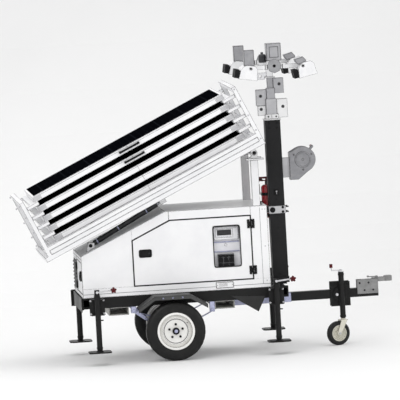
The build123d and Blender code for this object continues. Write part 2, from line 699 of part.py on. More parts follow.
side_outline = [
    (CAB_REAR, frame_top), (CAB_FRONT, frame_top), (CAB_FRONT, CAB_TOP), (CAB_KNEE, CAB_TOP),
    (CAB_REAR, CAB_SHOULDER),
]
door_outline = [
    (DOOR_X[0], DOOR_Z[0]), (DOOR_X[1], DOOR_Z[0]), (DOOR_X[1], DOOR_Z[1]), (DOOR_KNEE, DOOR_Z[1]),
    (DOOR_X[0], DOOR_REAR_TOP),
]
skin_left = (CAB_HALF - SHEET, CAB_HALF)
skin_right = (-CAB_HALF, SHEET - CAB_HALF)
between = (SHEET - CAB_HALF, CAB_HALF - SHEET)
left_side = side_plate(side_outline, skin_left)
right_strips = [
    block((CAB_REAR, CAB_FRONT), skin_right, (frame_top, DOOR_Z[0])),
    block((DOOR_X[1], CAB_FRONT), skin_right, (DOOR_Z[0], CAB_TOP)),
    side_plate(
        [
            (CAB_REAR, DOOR_Z[0]),
            (DOOR_X[0], DOOR_Z[0]),
            (DOOR_X[0], roof_z(DOOR_X[0])),
            (CAB_REAR, CAB_SHOULDER),
        ],
        skin_right,
    ),
    side_plate(
        [(DOOR_X[0], DOOR_REAR_TOP), (DOOR_KNEE, DOOR_Z[1]), (DOOR_KNEE, CAB_TOP), (CAB_KNEE, CAB_TOP),
         (DOOR_X[0], roof_z(DOOR_X[0]))],
        skin_right,
    ),
    block((DOOR_KNEE, DOOR_X[1]), skin_right, (DOOR_Z[1], CAB_TOP)),
]
roof_slope = side_plate(
    [
        (CAB_REAR, CAB_SHOULDER),
        (CAB_KNEE, CAB_TOP),
        (CAB_KNEE, CAB_TOP - SHEET),
        (CAB_REAR, CAB_SHOULDER - SHEET),
    ],
    between,
)
roof_flat = block((CAB_KNEE, CAB_FRONT), between, (CAB_TOP - SHEET, CAB_TOP))
floor_sheet = block((CAB_REAR, CAB_FRONT), between, (frame_top, frame_top + SHEET))
front_sheet = block((CAB_FRONT - SHEET, CAB_FRONT), between, (frame_top + SHEET, CAB_TOP - SHEET))
rear_x = (CAB_REAR, CAB_REAR + SHEET)
rear_top = CAB_SHOULDER - SHEET
rear_strips = [
    block(rear_x, between, (frame_top + SHEET, REAR_DOOR_Z[0])),
    block(rear_x, between, (REAR_DOOR_Z[1], rear_top)),
    block(rear_x, (between[0], REAR_DOOR_Y[0]), REAR_DOOR_Z),
    block(rear_x, (REAR_DOOR_Y[1], between[1]), REAR_DOOR_Z),
]
louvre_pitch = 32
louvres = []
for number in range(8):
    z = REAR_DOOR_Z[0] + 20 + number * louvre_pitch
    blade = Polygon((CAB_REAR, z), (CAB_REAR, z + 22), (CAB_REAR - 14, z), align=None)
    louvres.append(Pos(0, 410, 0) * extrude(Plane.XZ * blade, 300, dir=(0, -1, 0)))
hinge_line = (DOOR_X[1] - DOOR_GAP / 2, -CAB_HALF - HINGE_OUT)
hinge_heights = ((731, 808), (1153, 1232))
frame_hinges = []
for low, high in hinge_heights:
    leaf_face = block((hinge_line[0] + 4, hinge_line[0] + 33), (-CAB_HALF - 4, -CAB_HALF), (low, high))
    pin = rod((*hinge_line, low), (*hinge_line, high), HINGE_PIN_R)
    knuckles = [rod((*hinge_line, z), (*hinge_line, z + 18), HINGE_R) for z in (low, high - 18)]
    web = block((hinge_line[0], hinge_line[0] + 12), (hinge_line[1] - 2, -CAB_HALF), (low, low + 18))
    web += block((hinge_line[0], hinge_line[0] + 12), (hinge_line[1] - 2, -CAB_HALF), (high - 18, high))
    slot_z = (low + 18, high - 18)
    leaf_face -= block((hinge_line[0], hinge_line[0] + 12), (-CAB_HALF - 20, -CAB_HALF), slot_z)
    frame_hinges.append(leaf_face + pin + knuckles[0] + knuckles[1] + web)
rear_hinge_line = (CAB_REAR - HINGE_OUT, REAR_DOOR_Y[1] - DOOR_GAP / 2)
rear_hinge_heights = ((670, 730), (840, 900))
rear_hinges = []
for low, high in rear_hinge_heights:
    leaf_y = (rear_hinge_line[1] + 4, rear_hinge_line[1] + 30)
    leaf_face = block((CAB_REAR - 4, CAB_REAR), leaf_y, (low, high))
    pin = rod((*rear_hinge_line, low), (*rear_hinge_line, high), HINGE_PIN_R)
    slot_y = (rear_hinge_line[1], rear_hinge_line[1] + 12)
    leaf_face -= block((CAB_REAR - 20, CAB_REAR), slot_y, (low + 14, high - 14))
    shape = leaf_face + pin
    for z in (low, high - 14):
        shape += rod((*rear_hinge_line, z), (*rear_hinge_line, z + 14), HINGE_R)
        shape += block((rear_hinge_line[0] - 2, CAB_REAR), slot_y, (z, z + 14))
    rear_hinges.append(shape)
clevis = []
for y in ((ACT_Y - 34, ACT_Y - 28), (ACT_Y + 28, ACT_Y + 34)):
    foot_a, foot_b = ACT_BASE[0] - 42, ACT_BASE[0] + 42
    ear_top = ACT_BASE[1] + 26
    ear_foot = [(foot_a, roof_z(foot_a)), (foot_b, roof_z(foot_b))]
    ear = side_plate([*ear_foot, (foot_b - 6, ear_top), (foot_a + 22, ear_top)], y)
    clevis.append(ear)
clevis_pin = cross_rod(ACT_BASE, (ACT_Y - 40, ACT_Y + 40), ACT_PIN_R)
data_plate = block((405, 566), (-CAB_HALF - 2, -CAB_HALF), (620, 675))
save(
    "cabinet_shell", left_side, *right_strips, roof_slope, roof_flat, floor_sheet, front_sheet, *rear_strips,
    *louvres, *frame_hinges, *rear_hinges, clevis[0] + clevis[1] + clevis_pin, data_plate,
)

# right door: a flat skin with a folded pan behind it and a window for the control pocket
gap = DOOR_GAP
skin_outline = [
    (DOOR_X[0] + gap, DOOR_Z[0] + gap),
    (DOOR_X[1] - gap, DOOR_Z[0] + gap),
    (DOOR_X[1] - gap, DOOR_Z[1] - gap),
    (DOOR_KNEE + 1, DOOR_Z[1] - gap), (DOOR_X[0] + gap, DOOR_REAR_TOP - 3),
]
door_skin = side_plate(skin_outline, (-CAB_HALF, SHEET - CAB_HALF))
pocket_hole = block(POCKET_X, (-CAB_HALF - 1, 0), POCKET_Z)
door_skin -= pocket_hole
pan_inset = 25
pan_y = (SHEET - CAB_HALF, SHEET - CAB_HALF + DOOR_PAN)
low_rib_z = (DOOR_Z[0] + pan_inset, DOOR_Z[0] + pan_inset + 30)
top_rib_z = (DOOR_Z[1] - pan_inset - 30, DOOR_Z[1] - pan_inset)
stiffeners = [
    block((DOOR_X[0] + pan_inset, DOOR_X[1] - pan_inset), pan_y, low_rib_z),
    block((DOOR_KNEE + 10, DOOR_X[1] - pan_inset), pan_y, top_rib_z),
]
door_hinges = []
for low, high in hinge_heights:
    leaf_face = block((hinge_line[0] - 33, hinge_line[0] - 4), (-CAB_HALF - 4, -CAB_HALF), (low, high))
    knuckle = rod((*hinge_line, low + 18.3), (*hinge_line, high - 18.3), HINGE_R)
    web_z = (low + 18.3, high - 18.3)
    web = block((hinge_line[0] - 12, hinge_line[0]), (hinge_line[1] - 2, -CAB_HALF), web_z)
    shape = leaf_face + knuckle + web
    shape -= block((hinge_line[0] - 12, hinge_line[0]), (-CAB_HALF - 20, -CAB_HALF), (low - 1, low + 18.3))
    shape -= block((hinge_line[0] - 12, hinge_line[0]), (-CAB_HALF - 20, -CAB_HALF), (high - 18.3, high + 1))
    shape -= rod((*hinge_line, low), (*hinge_line, high), HINGE_PIN_R + BEARING_FIT)
    door_hinges.append(shape)
latch_floor = -CAB_HALF - 6
latch_bezel = block(LATCH_X, (latch_floor, -CAB_HALF), LATCH_Z)
latch_bezel = fillet(latch_bezel.edges().filter_by(Axis.Y), 16)
latch_hinge_at = (LATCH_X[0] + 18, latch_floor - 7)
latch_lugs = []
for low, high in ((LATCH_Z[0] + 8, LATCH_Z[0] + 16), (LATCH_Z[1] - 16, LATCH_Z[1] - 8)):
    lug = block((latch_hinge_at[0] - 6, latch_hinge_at[0] + 6), (latch_floor - 12, latch_floor), (low, high))
    latch_lugs.append(lug)
latch_pin = rod((*latch_hinge_at, LATCH_Z[0] + 8), (*latch_hinge_at, LATCH_Z[1] - 8), 3)
bezel = latch_bezel + latch_lugs[0] + latch_lugs[1] + latch_pin
save("right_door", door_skin, *stiffeners, *door_hinges, bezel)

paddle_z = (LATCH_Z[0] + 17, LATCH_Z[1] - 17)
paddle = block((latch_hinge_at[0], LATCH_X[1] - 10), (latch_floor - 10, latch_floor - 4), paddle_z)
paddle += rod((*latch_hinge_at, paddle_z[0]), (*latch_hinge_at, paddle_z[1]), 6)
paddle -= rod((*latch_hinge_at, paddle_z[0]), (*latch_hinge_at, paddle_z[1]), 3 + BEARING_FIT)
save("right_latch", paddle)

# control pocket: a five-sided tray hung in the door's window, with the controller and the outlets
tray_y = (SHEET - CAB_HALF, SHEET - CAB_HALF + POCKET_DEEP)
wall = 3
px, pz = POCKET_X, POCKET_Z
tray = [
    block((px[0] - wall, px[1] + wall), (tray_y[1] - wall, tray_y[1]), (pz[0] - wall, pz[1] + wall)),
    block((px[0] - wall, px[0]), (tray_y[0], tray_y[1] - wall), (pz[0] - wall, pz[1] + wall)),
    block((px[1], px[1] + wall), (tray_y[0], tray_y[1] - wall), (pz[0] - wall, pz[1] + wall)),
    block(px, (tray_y[0], tray_y[1] - wall), (pz[0] - wall, pz[0])),
    block(px, (tray_y[0], tray_y[1] - wall), (pz[1], pz[1] + wall)),
]
back_face = tray_y[1] - wall
controller = block((px[0] + 8, px[1] - 8), (back_face - 30, back_face), (pz[1] - 130, pz[1] - 12))
screen = block((px[0] + 28, px[1] - 60), (back_face - 33, back_face - 30), (pz[1] - 110, pz[1] - 34))
switch = cross_rod((px[0] + 118, pz[0] + 196), (back_face - 26, back_face), 11)
outlet_box = block((px[0] + 40, px[0] + 188), (back_face - 40, back_face), (pz[0] + 4, pz[0] + 111))
outlets = [
    cross_rod((px[0] + 62 + 50 * number, pz[0] + 58), (back_face - 46, back_face - 40), 20)
    for number in range(3)
]
save("control_panel", *tray, controller, screen, switch, outlet_box, *outlets)

rear_skin = block(
    (CAB_REAR, CAB_REAR + SHEET),
    (REAR_DOOR_Y[0] + gap, REAR_DOOR_Y[1] - gap),
    (REAR_DOOR_Z[0] + gap, REAR_DOOR_Z[1] - gap),
)
rear_latch = block((CAB_REAR - 16, CAB_REAR), (REAR_DOOR_Y[0] + 14, REAR_DOOR_Y[0] + 64), (760, 850))
rear_leaves = []
for low, high in rear_hinge_heights:
    leaf_y = (rear_hinge_line[1] - 30, rear_hinge_line[1] - 4)
    leaf_face = block((CAB_REAR - 4, CAB_REAR), leaf_y, (low, high))
    shape = leaf_face + rod((*rear_hinge_line, low + 14.3), (*rear_hinge_line, high - 14.3), HINGE_R)
    shape += block(
        (rear_hinge_line[0] - 2, CAB_REAR),
        (rear_hinge_line[1] - 12, rear_hinge_line[1]),
        (low + 14.3, high - 14.3),
    )
    for z in ((low - 1, low + 14.3), (high - 14.3, high + 1)):
        shape -= block((CAB_REAR - 20, CAB_REAR), (rear_hinge_line[1] - 12, rear_hinge_line[1]), z)
    shape -= rod((*rear_hinge_line, low), (*rear_hinge_line, high), HINGE_PIN_R + BEARING_FIT)
    rear_leaves.append(shape)
save("rear_door", rear_skin, rear_latch, *rear_leaves)

deck = frame_top + SHEET
batteries = [block((-760, -180), (-330, 330), (deck, deck + 12))]
for x in (-750, -560, -370):
    for y in (-320, 10):
        batteries.append(block((x, x + 170), (y, y + 310), (deck + 12, deck + 230)))
save("battery_bank", *batteries)

skid = block((60, 700), (-280, 330), (deck, deck + 40))
engine = block((300, 640), (-120, 220), (deck + 40, deck + 420))
alternator = rod((110, 50, deck + 220), (300, 50, deck + 220), 130)
alternator_feet = block((140, 270), (-60, 160), (deck + 40, deck + 100))
radiator = block((660, 695), (-200, 300), (deck + 40, deck + 500))
save("generator", skid, engine, alternator + alternator_feet, radiator)


# ---------------------------------------------------------------- array stand, tilt frame and panels

pillar_top = 1770
table_top = pillar_top + 15
posts = []
for side in (-1, 1):
    y = side * POST_Y
    posts.append(
        box_tube(
            (PIVOT[0] - POST_TUBE / 2 - 4, PIVOT[0] + POST_TUBE / 2 - 4),
            (y - POST_TUBE / 2, y + POST_TUBE / 2),
            (CAB_TOP, pillar_top), 5, "z",
        )
    )
    posts.append(block((PIVOT[0] - 82, PIVOT[0] + 84), (y - 45, y + 45), (pillar_top, table_top)))
    cradle = cross_rod(PIVOT, (y - 22, y + 22), 30)
    cradle += block((PIVOT[0] - 30, PIVOT[0] + 30), (y - 22, y + 22), (table_top, PIVOT[1]))
    cradle += block((PIVOT[0] - 62, PIVOT[0] + 62), (y - 22, y + 22), (table_top, table_top + 14))
    cradle -= cross_rod(PIVOT, (y - 22, y + 22), PIVOT_R + BEARING_FIT)
    posts.append(cradle)
save("array_posts", *posts)

array_at = Pos(ARRAY_CORNER[0], 0, ARRAY_CORNER[1]) * Rot(0, -TILT, 0)


def to_slope(point):
    """A point of X and Z in the array's own u and w."""
    dx, dz = point[0] - ARRAY_CORNER[0], point[1] - ARRAY_CORNER[1]
    return (dx * slope_u[0] + dz * slope_u[1], dz * slope_u[0] - dx * slope_u[1])


def from_slope(u, w):
    """A point of the array's u and w in X and Z."""
    return (
        ARRAY_CORNER[0] + u * slope_u[0] - w * slope_u[1],
        ARRAY_CORNER[1] + u * slope_u[1] + w * slope_u[0],
    )


edge_in = ARRAY_HALF - ARRAY_TUBE
front_post_u = ARRAY_LENGTH - ARRAY_TUBE
post_rows = ((POST_REAR_U, POST_REAR_U + ARRAY_TUBE), (front_post_u, ARRAY_LENGTH))
tilt_pieces = []
layers = list(zip(BASE_LAYERS, BASE_LAYERS[1:]))
inner_u = (post_rows[0][1], post_rows[1][0])
for side in (-1, 1):
    outer = sorted((side * edge_in, side * ARRAY_HALF))
    set_back = sorted((side * edge_in, side * (ARRAY_HALF - 6)))
    tilt_pieces.append(block((0, ARRAY_LENGTH), outer, layers[0]))
    tilt_pieces.append(block(inner_u, set_back, layers[1]))
    tilt_pieces.append(block(inner_u, outer, layers[2]))
    for row in post_rows:
        tilt_pieces.append(block(row, outer, (layers[0][1], POST_TOP)))
for u in ((0, ARRAY_TUBE), (540, 580), (1660, 1700), (front_post_u, ARRAY_LENGTH)):
    tilt_pieces.append(block(u, (-edge_in, edge_in), layers[0]))
for row in post_rows:
    tilt_pieces.append(block(row, (-edge_in, edge_in), (POST_TOP - ARRAY_TUBE, POST_TOP)))
runner_half = edge_in - 4
for number in range(PANEL_COUNT):
    panel_low = PANEL_TOP - number * PANEL_PITCH - PANEL_H
    runner_w = (panel_low - RUNNER_FIT - RUNNER_H, panel_low - RUNNER_FIT)
    rear_u = (post_rows[0][1], PANEL_U[0] + RUNNER_REACH)
    front_u = (PANEL_U[1] - RUNNER_REACH, post_rows[1][0])
    for u in (rear_u, front_u):
        for y in (-edge_in, edge_in - 70):
            tilt_pieces.append(block(u, (y, y + 70), runner_w))
        runner = (u[0] + (40 if u is rear_u else 0), u[1] - (40 if u is front_u else 0))
        tilt_pieces.append(block(runner, (-edge_in + 70, edge_in - 70), runner_w))
pivot_u, pivot_w = to_slope(PIVOT)
lug_y = (POST_Y - 36, POST_Y - 24), (POST_Y + 24, POST_Y + 36)
shaft = cross_rod((pivot_u, pivot_w), (-POST_Y - 40, POST_Y + 40), PIVOT_R)
for side in (-1, 1):
    for low, high in lug_y:
        y = sorted((side * low, side * high))
        lug = block((pivot_u - LUG_R, pivot_u + LUG_R), y, (pivot_w, 0))
        lug += cross_rod((pivot_u, pivot_w), y, LUG_R)
        tilt_pieces.append(lug - shaft)
bearer = block((pivot_u - 30, pivot_u + 30), (-edge_in, edge_in), (0, layers[0][1]))
tilt_pieces += [shaft, bearer]
tip_ears = []
for y in ((ACT_Y - 34, ACT_Y - 28), (ACT_Y + 28, ACT_Y + 34)):
    tip_ears.append(block((ACT_TIP_U - 30, ACT_TIP_U + 30), y, (-ACT_TIP_DROP - 22, 0)))
ear_beams = [
    block((ACT_TIP_U - 30, ACT_TIP_U + 30), (-edge_in, ACT_Y - 28), (0, layers[0][1])),
    block((ACT_TIP_U - 30, ACT_TIP_U + 30), (ACT_Y + 28, edge_in), (0, layers[0][1])),
]
tilt_pieces += tip_ears + ear_beams
save("tilt_frame", *[array_at * piece for piece in tilt_pieces])

for number in range(PANEL_COUNT):
    top = PANEL_TOP - number * PANEL_PITCH
    low = top - PANEL_H
    ring = block(PANEL_U, (-PANEL_HALF, PANEL_HALF), (low, top))
    ring -= block(
        (PANEL_U[0] + FRAME_EDGE, PANEL_U[1] - FRAME_EDGE),
        (FRAME_EDGE - PANEL_HALF, PANEL_HALF - FRAME_EDGE),
        (low, top),
    )
    glass = block(
        (PANEL_U[0] + FRAME_EDGE, PANEL_U[1] - FRAME_EDGE),
        (FRAME_EDGE - PANEL_HALF, PANEL_HALF - FRAME_EDGE),
        (top - 8, top - 3),
    )
    pieces = [ring, glass]
    if number < 2:
        grip_u = (1060, 1250)
        grip_w = top - PANEL_H / 2
        near = -PANEL_HALF
        for u in grip_u:
            pieces.append(block((u - 8, u + 8), (near - 28, near), (grip_w - 9, grip_w + 9)))
        pieces.append(block((grip_u[0] + 8, grip_u[1] - 8), (near - 28, near - 16), (grip_w - 9, grip_w + 9)))
    save(f"solar_panel_{number + 1}", *[array_at * piece for piece in pieces])

tip = from_slope(ACT_TIP_U, -ACT_TIP_DROP)
reach = hypot(tip[0] - ACT_BASE[0], tip[1] - ACT_BASE[1])
along = ((tip[0] - ACT_BASE[0]) / reach, (tip[1] - ACT_BASE[1]) / reach)


def on_actuator(distance):
    """A point on the actuator's line, at a distance from its base pin."""
    return (ACT_BASE[0] + along[0] * distance, ACT_Y, ACT_BASE[1] + along[1] * distance)


body_length = reach - 60
bore = ACT_ROD_R + LEG_FIT
act_eye = cross_rod(ACT_BASE, (ACT_Y - 24, ACT_Y + 24), 20) + rod(on_actuator(0), on_actuator(40), 16)
act_eye -= cross_rod(ACT_BASE, (ACT_Y - 24, ACT_Y + 24), ACT_PIN_R + BEARING_FIT)
act_body = pipe(on_actuator(40), on_actuator(body_length), ACT_R, bore)
motor_x, _, motor_z = on_actuator(120)
motor = rod((motor_x, ACT_Y + ACT_R, motor_z), (motor_x, ACT_Y + ACT_R + 70, motor_z), ACT_R - 2)
save("actuator_body", act_eye, act_body, motor)
act_rod = rod(on_actuator(60), on_actuator(reach - 14), ACT_ROD_R)
tip_eye = cross_rod(tip, (ACT_Y - 14, ACT_Y + 14), 18)
act_rod = act_rod + tip_eye - cross_rod(tip, (ACT_Y - 14, ACT_Y + 14), ACT_PIN_R)
save("actuator_rod", act_rod)


# ---------------------------------------------------------------- mast

half = MAST_TUBE[0] / 2
mast_floor = MAST_FOOT - MAST_STEP


def mast_ring(outer, inner, z):
    """A square ring about the mast's axis, from its half widths."""
    return box_tube((MAST_X - outer, MAST_X + outer), (-outer, outer), z, outer - inner, "z")


def mouth_guide(number):
    """The lining in a stage's mouth that the next stage slides through."""
    inside = MAST_TUBE[number] / 2 - MAST_WALL[number]
    top = MAST_TOP[number]
    return mast_ring(inside, MAST_TUBE[number + 1] / 2 + MAST_FIT, (top - GUIDE_H, top))


def pulley_head(number, side, reach, z):
    """Two cheeks with a sheave between them, on one side of a stage's top: side is 1 for the front."""
    own = MAST_X + side * MAST_TUBE[number] / 2
    beside = MAST_X + side * (MAST_TUBE[number + 1] / 2 + 2.5)
    end = MAST_X + side * reach
    top = MAST_TOP[number]
    outline = [(own, z[0]), (end, z[0]), (end, z[1]), (beside, z[1]), (beside, top), (own, top)]
    centre = (own + side * (abs(end - own) / 2 + 2), (z[0] + z[1]) / 2 + 14)
    pieces = []
    for y in ((-HEAD_HALF, HEAD_CHEEK - HEAD_HALF), (HEAD_HALF - HEAD_CHEEK, HEAD_HALF)):
        pieces.append(side_plate(outline, y) - cross_rod(centre, y, HEAD_HOLE_R))
    low_y, high_y = HEAD_CHEEK - HEAD_HALF, HEAD_HALF - HEAD_CHEEK
    web_x = sorted((end, end - side * HEAD_CHEEK))
    pieces.append(block(web_x, (low_y, high_y), z))
    sheave_r = abs(end - own) / 2 - HEAD_CHEEK - 2
    sheave = cross_rod(centre, (-9, 9), sheave_r)
    sheave += cross_rod(centre, (-HEAD_HALF - 2, HEAD_HALF + 2), HEAD_HOLE_R)
    return pieces, sheave


outer_mast = mast_ring(half, half - MAST_WALL[0], (mast_floor, MAST_TOP[0]))
base_plate = block(
    (MAST_X - half - 20, MAST_X + half - 20), (-half - 20, half + 20), (receiver_z + RECEIVER, mast_floor)
)
sleeve = mast_ring(half + 6, half, (mast_floor, MAST_FOOT + 44))
small_latch = block((MAST_X - 18, MAST_X + 18), (-half - 10, -half), (1410, 1460))
save("mast_tube", outer_mast, mouth_guide(0), base_plate, sleeve, small_latch)

for number in range(1, len(MAST_TUBE)):
    outside = MAST_TUBE[number] / 2
    hole = MAST_TUBE[number - 1] / 2 - MAST_WALL[number - 1] - MAST_FIT
    foot_z = MAST_FOOT + MAST_STEP * (number - 1)
    pieces = [
        mast_ring(outside, outside - MAST_WALL[number], (foot_z, MAST_TOP[number])),
        mast_ring(hole, outside, (foot_z, foot_z + SHOE_H)),
    ]
    if number == 1:
        pieces.append(mast_ring(half + 5, outside, (MAST_TOP[0] + MAST_FIT, MAST_TOP[0] + MAST_STEP)))
    if number < len(MAST_TUBE) - 1:
        pieces.append(mouth_guide(number))
    for side, reach, z in PULLEY_HEADS.get(number, ()):
        cheeks, sheave = pulley_head(number, side, reach, z)
        pieces += cheeks + [sheave]
    save(f"mast_stage_{number + 1}", *pieces)

collar = box_tube((MAST_X - half - 8, MAST_X + half + 8), (-half - 8, half + 8), COLLAR_Z, 8, "z")
collar_stay = block((CAB_FRONT, MAST_X - half - 8), (-30, 30), (COLLAR_Z[0] + 14, COLLAR_Z[1] - 14))
collar_bolts = [
    rod((MAST_X + half + 8, y, z), (MAST_X + half + 36, y, z), 6)
    for y in (-50, 50)
    for z in (COLLAR_Z[0] + 12, COLLAR_Z[1] - 12)
]
winch_face = MAST_X + half
winch_back = (winch_face + 68, winch_face + 74)
winch_z = (1540, 1790)
winch_stand = block((winch_face, winch_back[0]), (-40, 40), (1565, 1745))
winch_stand -= block((winch_face + 6, winch_back[0]), (-34, 34), (1571, 1739))
winch_spine = block(winch_back, (-WINCH_HALF, WINCH_HALF), winch_z)
cheek_shape = Pos(*WINCH) * Circle(WINCH_R) + Polygon(
    (winch_back[0], winch_z[0]), (WINCH[0] - 46, winch_z[0]),
    (WINCH[0] + WINCH_R * cos(radians(-38)), WINCH[1] + WINCH_R * sin(radians(-38))),
    (WINCH[0], WINCH[1]), (WINCH[0] + WINCH_R * cos(radians(122)), WINCH[1] + WINCH_R * sin(radians(122))),
    (winch_back[0], winch_z[1]),
    align=None,
)
cheek_plates = []
for y in (-WINCH_HALF, WINCH_HALF + 4):
    plate = Pos(0, y, 0) * extrude(Plane.XZ * cheek_shape, 4, dir=(0, -1, 0))
    shaft_hole = cross_rod(WINCH, (-WINCH_HALF - 10, WINCH_HALF + 10), WINCH_SHAFT_R + BEARING_FIT)
    cheek_plates.append(plate - shaft_hole)
save("mast_fittings", collar, collar_stay, *collar_bolts, winch_stand, winch_spine, *cheek_plates)

drum_y = (-WINCH_HALF + 1, WINCH_HALF - 1)
drum = cross_rod(WINCH, (drum_y[0] + 5, drum_y[1] - 5), 42)
drum += cross_rod(WINCH, (drum_y[0], drum_y[0] + 5), 95) + cross_rod(WINCH, (drum_y[1] - 5, drum_y[1]), 95)
drum += cross_rod(WINCH, (-WINCH_HALF - 10, WINCH_HALF + 26), WINCH_SHAFT_R)
crank_turn = radians(45)
crank_reach = 150
crank_end = (WINCH[0] + crank_reach * cos(crank_turn), WINCH[1] + crank_reach * sin(crank_turn))
winch_arm = link(WINCH, crank_end, 12, (WINCH_HALF + 18, WINCH_HALF + 26))
grip = cross_rod(crank_end, (WINCH_HALF + 26, WINCH_HALF + 120), 13)
save("winch_drum", drum + winch_arm, grip)

bottle_r = 54
bottle_off = 16
bottle_at = (980, half + bottle_off + bottle_r)
bottle_z = (1195, 1500)
bottle = rod((*bottle_at, bottle_z[0]), (*bottle_at, bottle_z[1]), bottle_r)
bottle = fillet(bottle.edges().sort_by(Axis.Z)[-1], 32)
valve = rod((*bottle_at, bottle_z[1]), (*bottle_at, bottle_z[1] + 32), 16)
lever_x = (bottle_at[0] - 70, bottle_at[0] + 20)
lever_y = (bottle_at[1] - 7, bottle_at[1] + 7)
valve_z = bottle_z[1] + 32
levers = block(lever_x, (bottle_at[1] - 9, bottle_at[1] + 9), (valve_z, valve_z + 10))
levers += block(lever_x, lever_y, (valve_z + 22, valve_z + 40))
levers += block((bottle_at[0] - 10, lever_x[1]), lever_y, (valve_z + 10, valve_z + 22))
straps = []
for z in ((1205, 1232), (1400, 1427)):
    strap = pipe((*bottle_at, z[0]), (*bottle_at, z[1]), bottle_r + 3, bottle_r)
    lug = block((bottle_at[0] - 5, bottle_at[0] + 25), (half, half + bottle_off), z)
    lug -= rod((*bottle_at, z[0]), (*bottle_at, z[1]), bottle_r)
    straps.append(strap + lug)
save("extinguisher", bottle, valve + levers, *straps)


# ---------------------------------------------------------------- light head

head_foot = MAST_TOP[-1]
beam_half = 26
tube_half = MAST_TUBE[-1] / 2
mast_cap = block((MAST_X - 45, MAST_X + 45), (-45, 45), (head_foot, head_foot + 10))
pedestal = block((MAST_X - 30, MAST_X + 30), (-30, 30), (head_foot + 10, HEAD_Z - beam_half))
beam_z = (HEAD_Z - beam_half, HEAD_Z + beam_half)
beam = box_tube((MAST_X - beam_half, MAST_X + beam_half), (-HEAD_Y + 6, HEAD_Y - 6), beam_z, 4, "y")
plates = []
for side in (-1, 1):
    y = (-HEAD_Y, -HEAD_Y + 6) if side < 0 else (HEAD_Y - 6, HEAD_Y)
    octagon = extrude(Plane((MAST_X, y[1], HEAD_Z), z_dir=(0, -1, 0)) * RegularPolygon(66, 8), 6)
    plates.append(octagon - cross_rod((MAST_X, HEAD_Z), (y[0] - 1, y[1] + 1), 13))
lamp_arms = []
arm_half_z = 20
for side in (-1, 1):
    y = sorted((side * (HEAD_Y - 50), side * (HEAD_Y - 12)))
    for start, end in ((LAMP_REAR_X, MAST_X - beam_half), (MAST_X + beam_half, LAMP_FRONT_X)):
        bar = block((start, end), y, (HEAD_Z - 8 - arm_half_z, HEAD_Z - 8 + arm_half_z))
        if end == LAMP_FRONT_X:
            bar += cross_rod((LAMP_FRONT_X, HEAD_Z - 8), y, arm_half_z)
            bar -= cross_rod((LAMP_FRONT_X, HEAD_Z - 8), y, LAMP_PIN_R + BEARING_FIT)
        else:
            bar += cross_rod((LAMP_REAR_X, HEAD_Z - 8), y, arm_half_z)
            bar -= cross_rod((LAMP_REAR_X, HEAD_Z - 8), y, LAMP_PIN_R + BEARING_FIT)
        lamp_arms.append(bar)
tall_box = block((MAST_X - 22, MAST_X + 112), (-70, 60), (HEAD_Z + beam_half, HEAD_Z + beam_half + 160))
box_z = (head_foot - 12, HEAD_Z - 81)
cable_box = block((MAST_X - 119, MAST_X - 47), (-28, 28), box_z)
cable_box += block((MAST_X - 47, MAST_X - 30), (-28, 28), (head_foot + 12, box_z[1]))
cable_box -= cross_rod((MAST_X - 88, HEAD_Z - 112), (-30, 30), 14)
sensor_foot = block((MAST_X - 92, MAST_X - beam_half), (-20, 20), (HEAD_Z - 10, HEAD_Z + 14))
sensor = rod((MAST_X - 58, 0, HEAD_Z + 14), (MAST_X - 58, 0, HEAD_Z + 90), 34)
sensor = fillet(sensor.edges().sort_by(Axis.Z)[-1], 18)
sensor += rod((MAST_X - 58, 0, HEAD_Z + 90), (MAST_X - 58, 0, HEAD_Z + 108), 12)
save("light_bar", mast_cap + pedestal, cable_box, beam, *plates, *lamp_arms, tall_box, sensor_foot, sensor)


def floodlight(x, side, shift, lean, driver_outline):
    """A hooded lamp with its finned back, driver box and yoke, hung on the arm's end."""
    hinge = (x, HEAD_Z - 8)
    arm_y = side * (HEAD_Y - 31)
    y = (arm_y - LAMP_W / 2, arm_y + LAMP_W / 2)
    gap_y = (arm_y - 19 - 1, arm_y + 19 + 1)
    left, right = -88 + shift, 66 + shift
    hood = make_face(
        [
            Line((left - 10, -104), (left, -26)),
            ThreePointArc((left, -26), (left + 22, 8), (left + 56, 26)),
            Line((left + 56, 26), (right - 30, 26)),
            ThreePointArc((right - 30, 26), (right - 6, 4), (right, -30)),
            Line((right, -30), (right + 6, -104)),
            Line((right + 6, -104), (left - 10, -104)),
        ]
    )
    hood_block = Pos(0, y[1], 0) * extrude(Plane.XZ * hood, LAMP_W, dir=(0, -1, 0))
    slot_x = (-26, right + 60) if x < MAST_X else (left - 60, 26)
    slot = block(slot_x, gap_y, (-24, 40)) + cross_rod((0, 0), gap_y, 34)
    chamber = block((left + 4, right - 4), (y[0] + 4, y[1] - 4), (-104, -40))
    lens = block((left + 4, right - 4), (y[0] + 4, y[1] - 4), (-102, -97))
    pin = cross_rod((0, 0), gap_y, LAMP_PIN_R)
    housing = hood_block - slot - chamber + pin
    fins = [
        block((left - 50, left - 12), (y[0] + 20 + 22 * number, y[0] + 30 + 22 * number), (-98, -20))
        for number in range(10)
    ]
    fin_root = block((left - 16, left), (y[0] + 14, y[1] - 14), (-98, -30))
    sink = fin_root
    for fin in fins:
        sink += fin
    sink -= hood_block
    driver_y = (y[0] + 20, gap_y[0] - 4)
    at_hinge = Pos(hinge[0], 0, hinge[1])
    leaning = at_hinge * Rot(0, lean, 0)
    driver = at_hinge * side_plate(driver_outline, driver_y) - leaning * hood_block
    return [leaning * housing, leaning * sink, leaning * lens, driver]


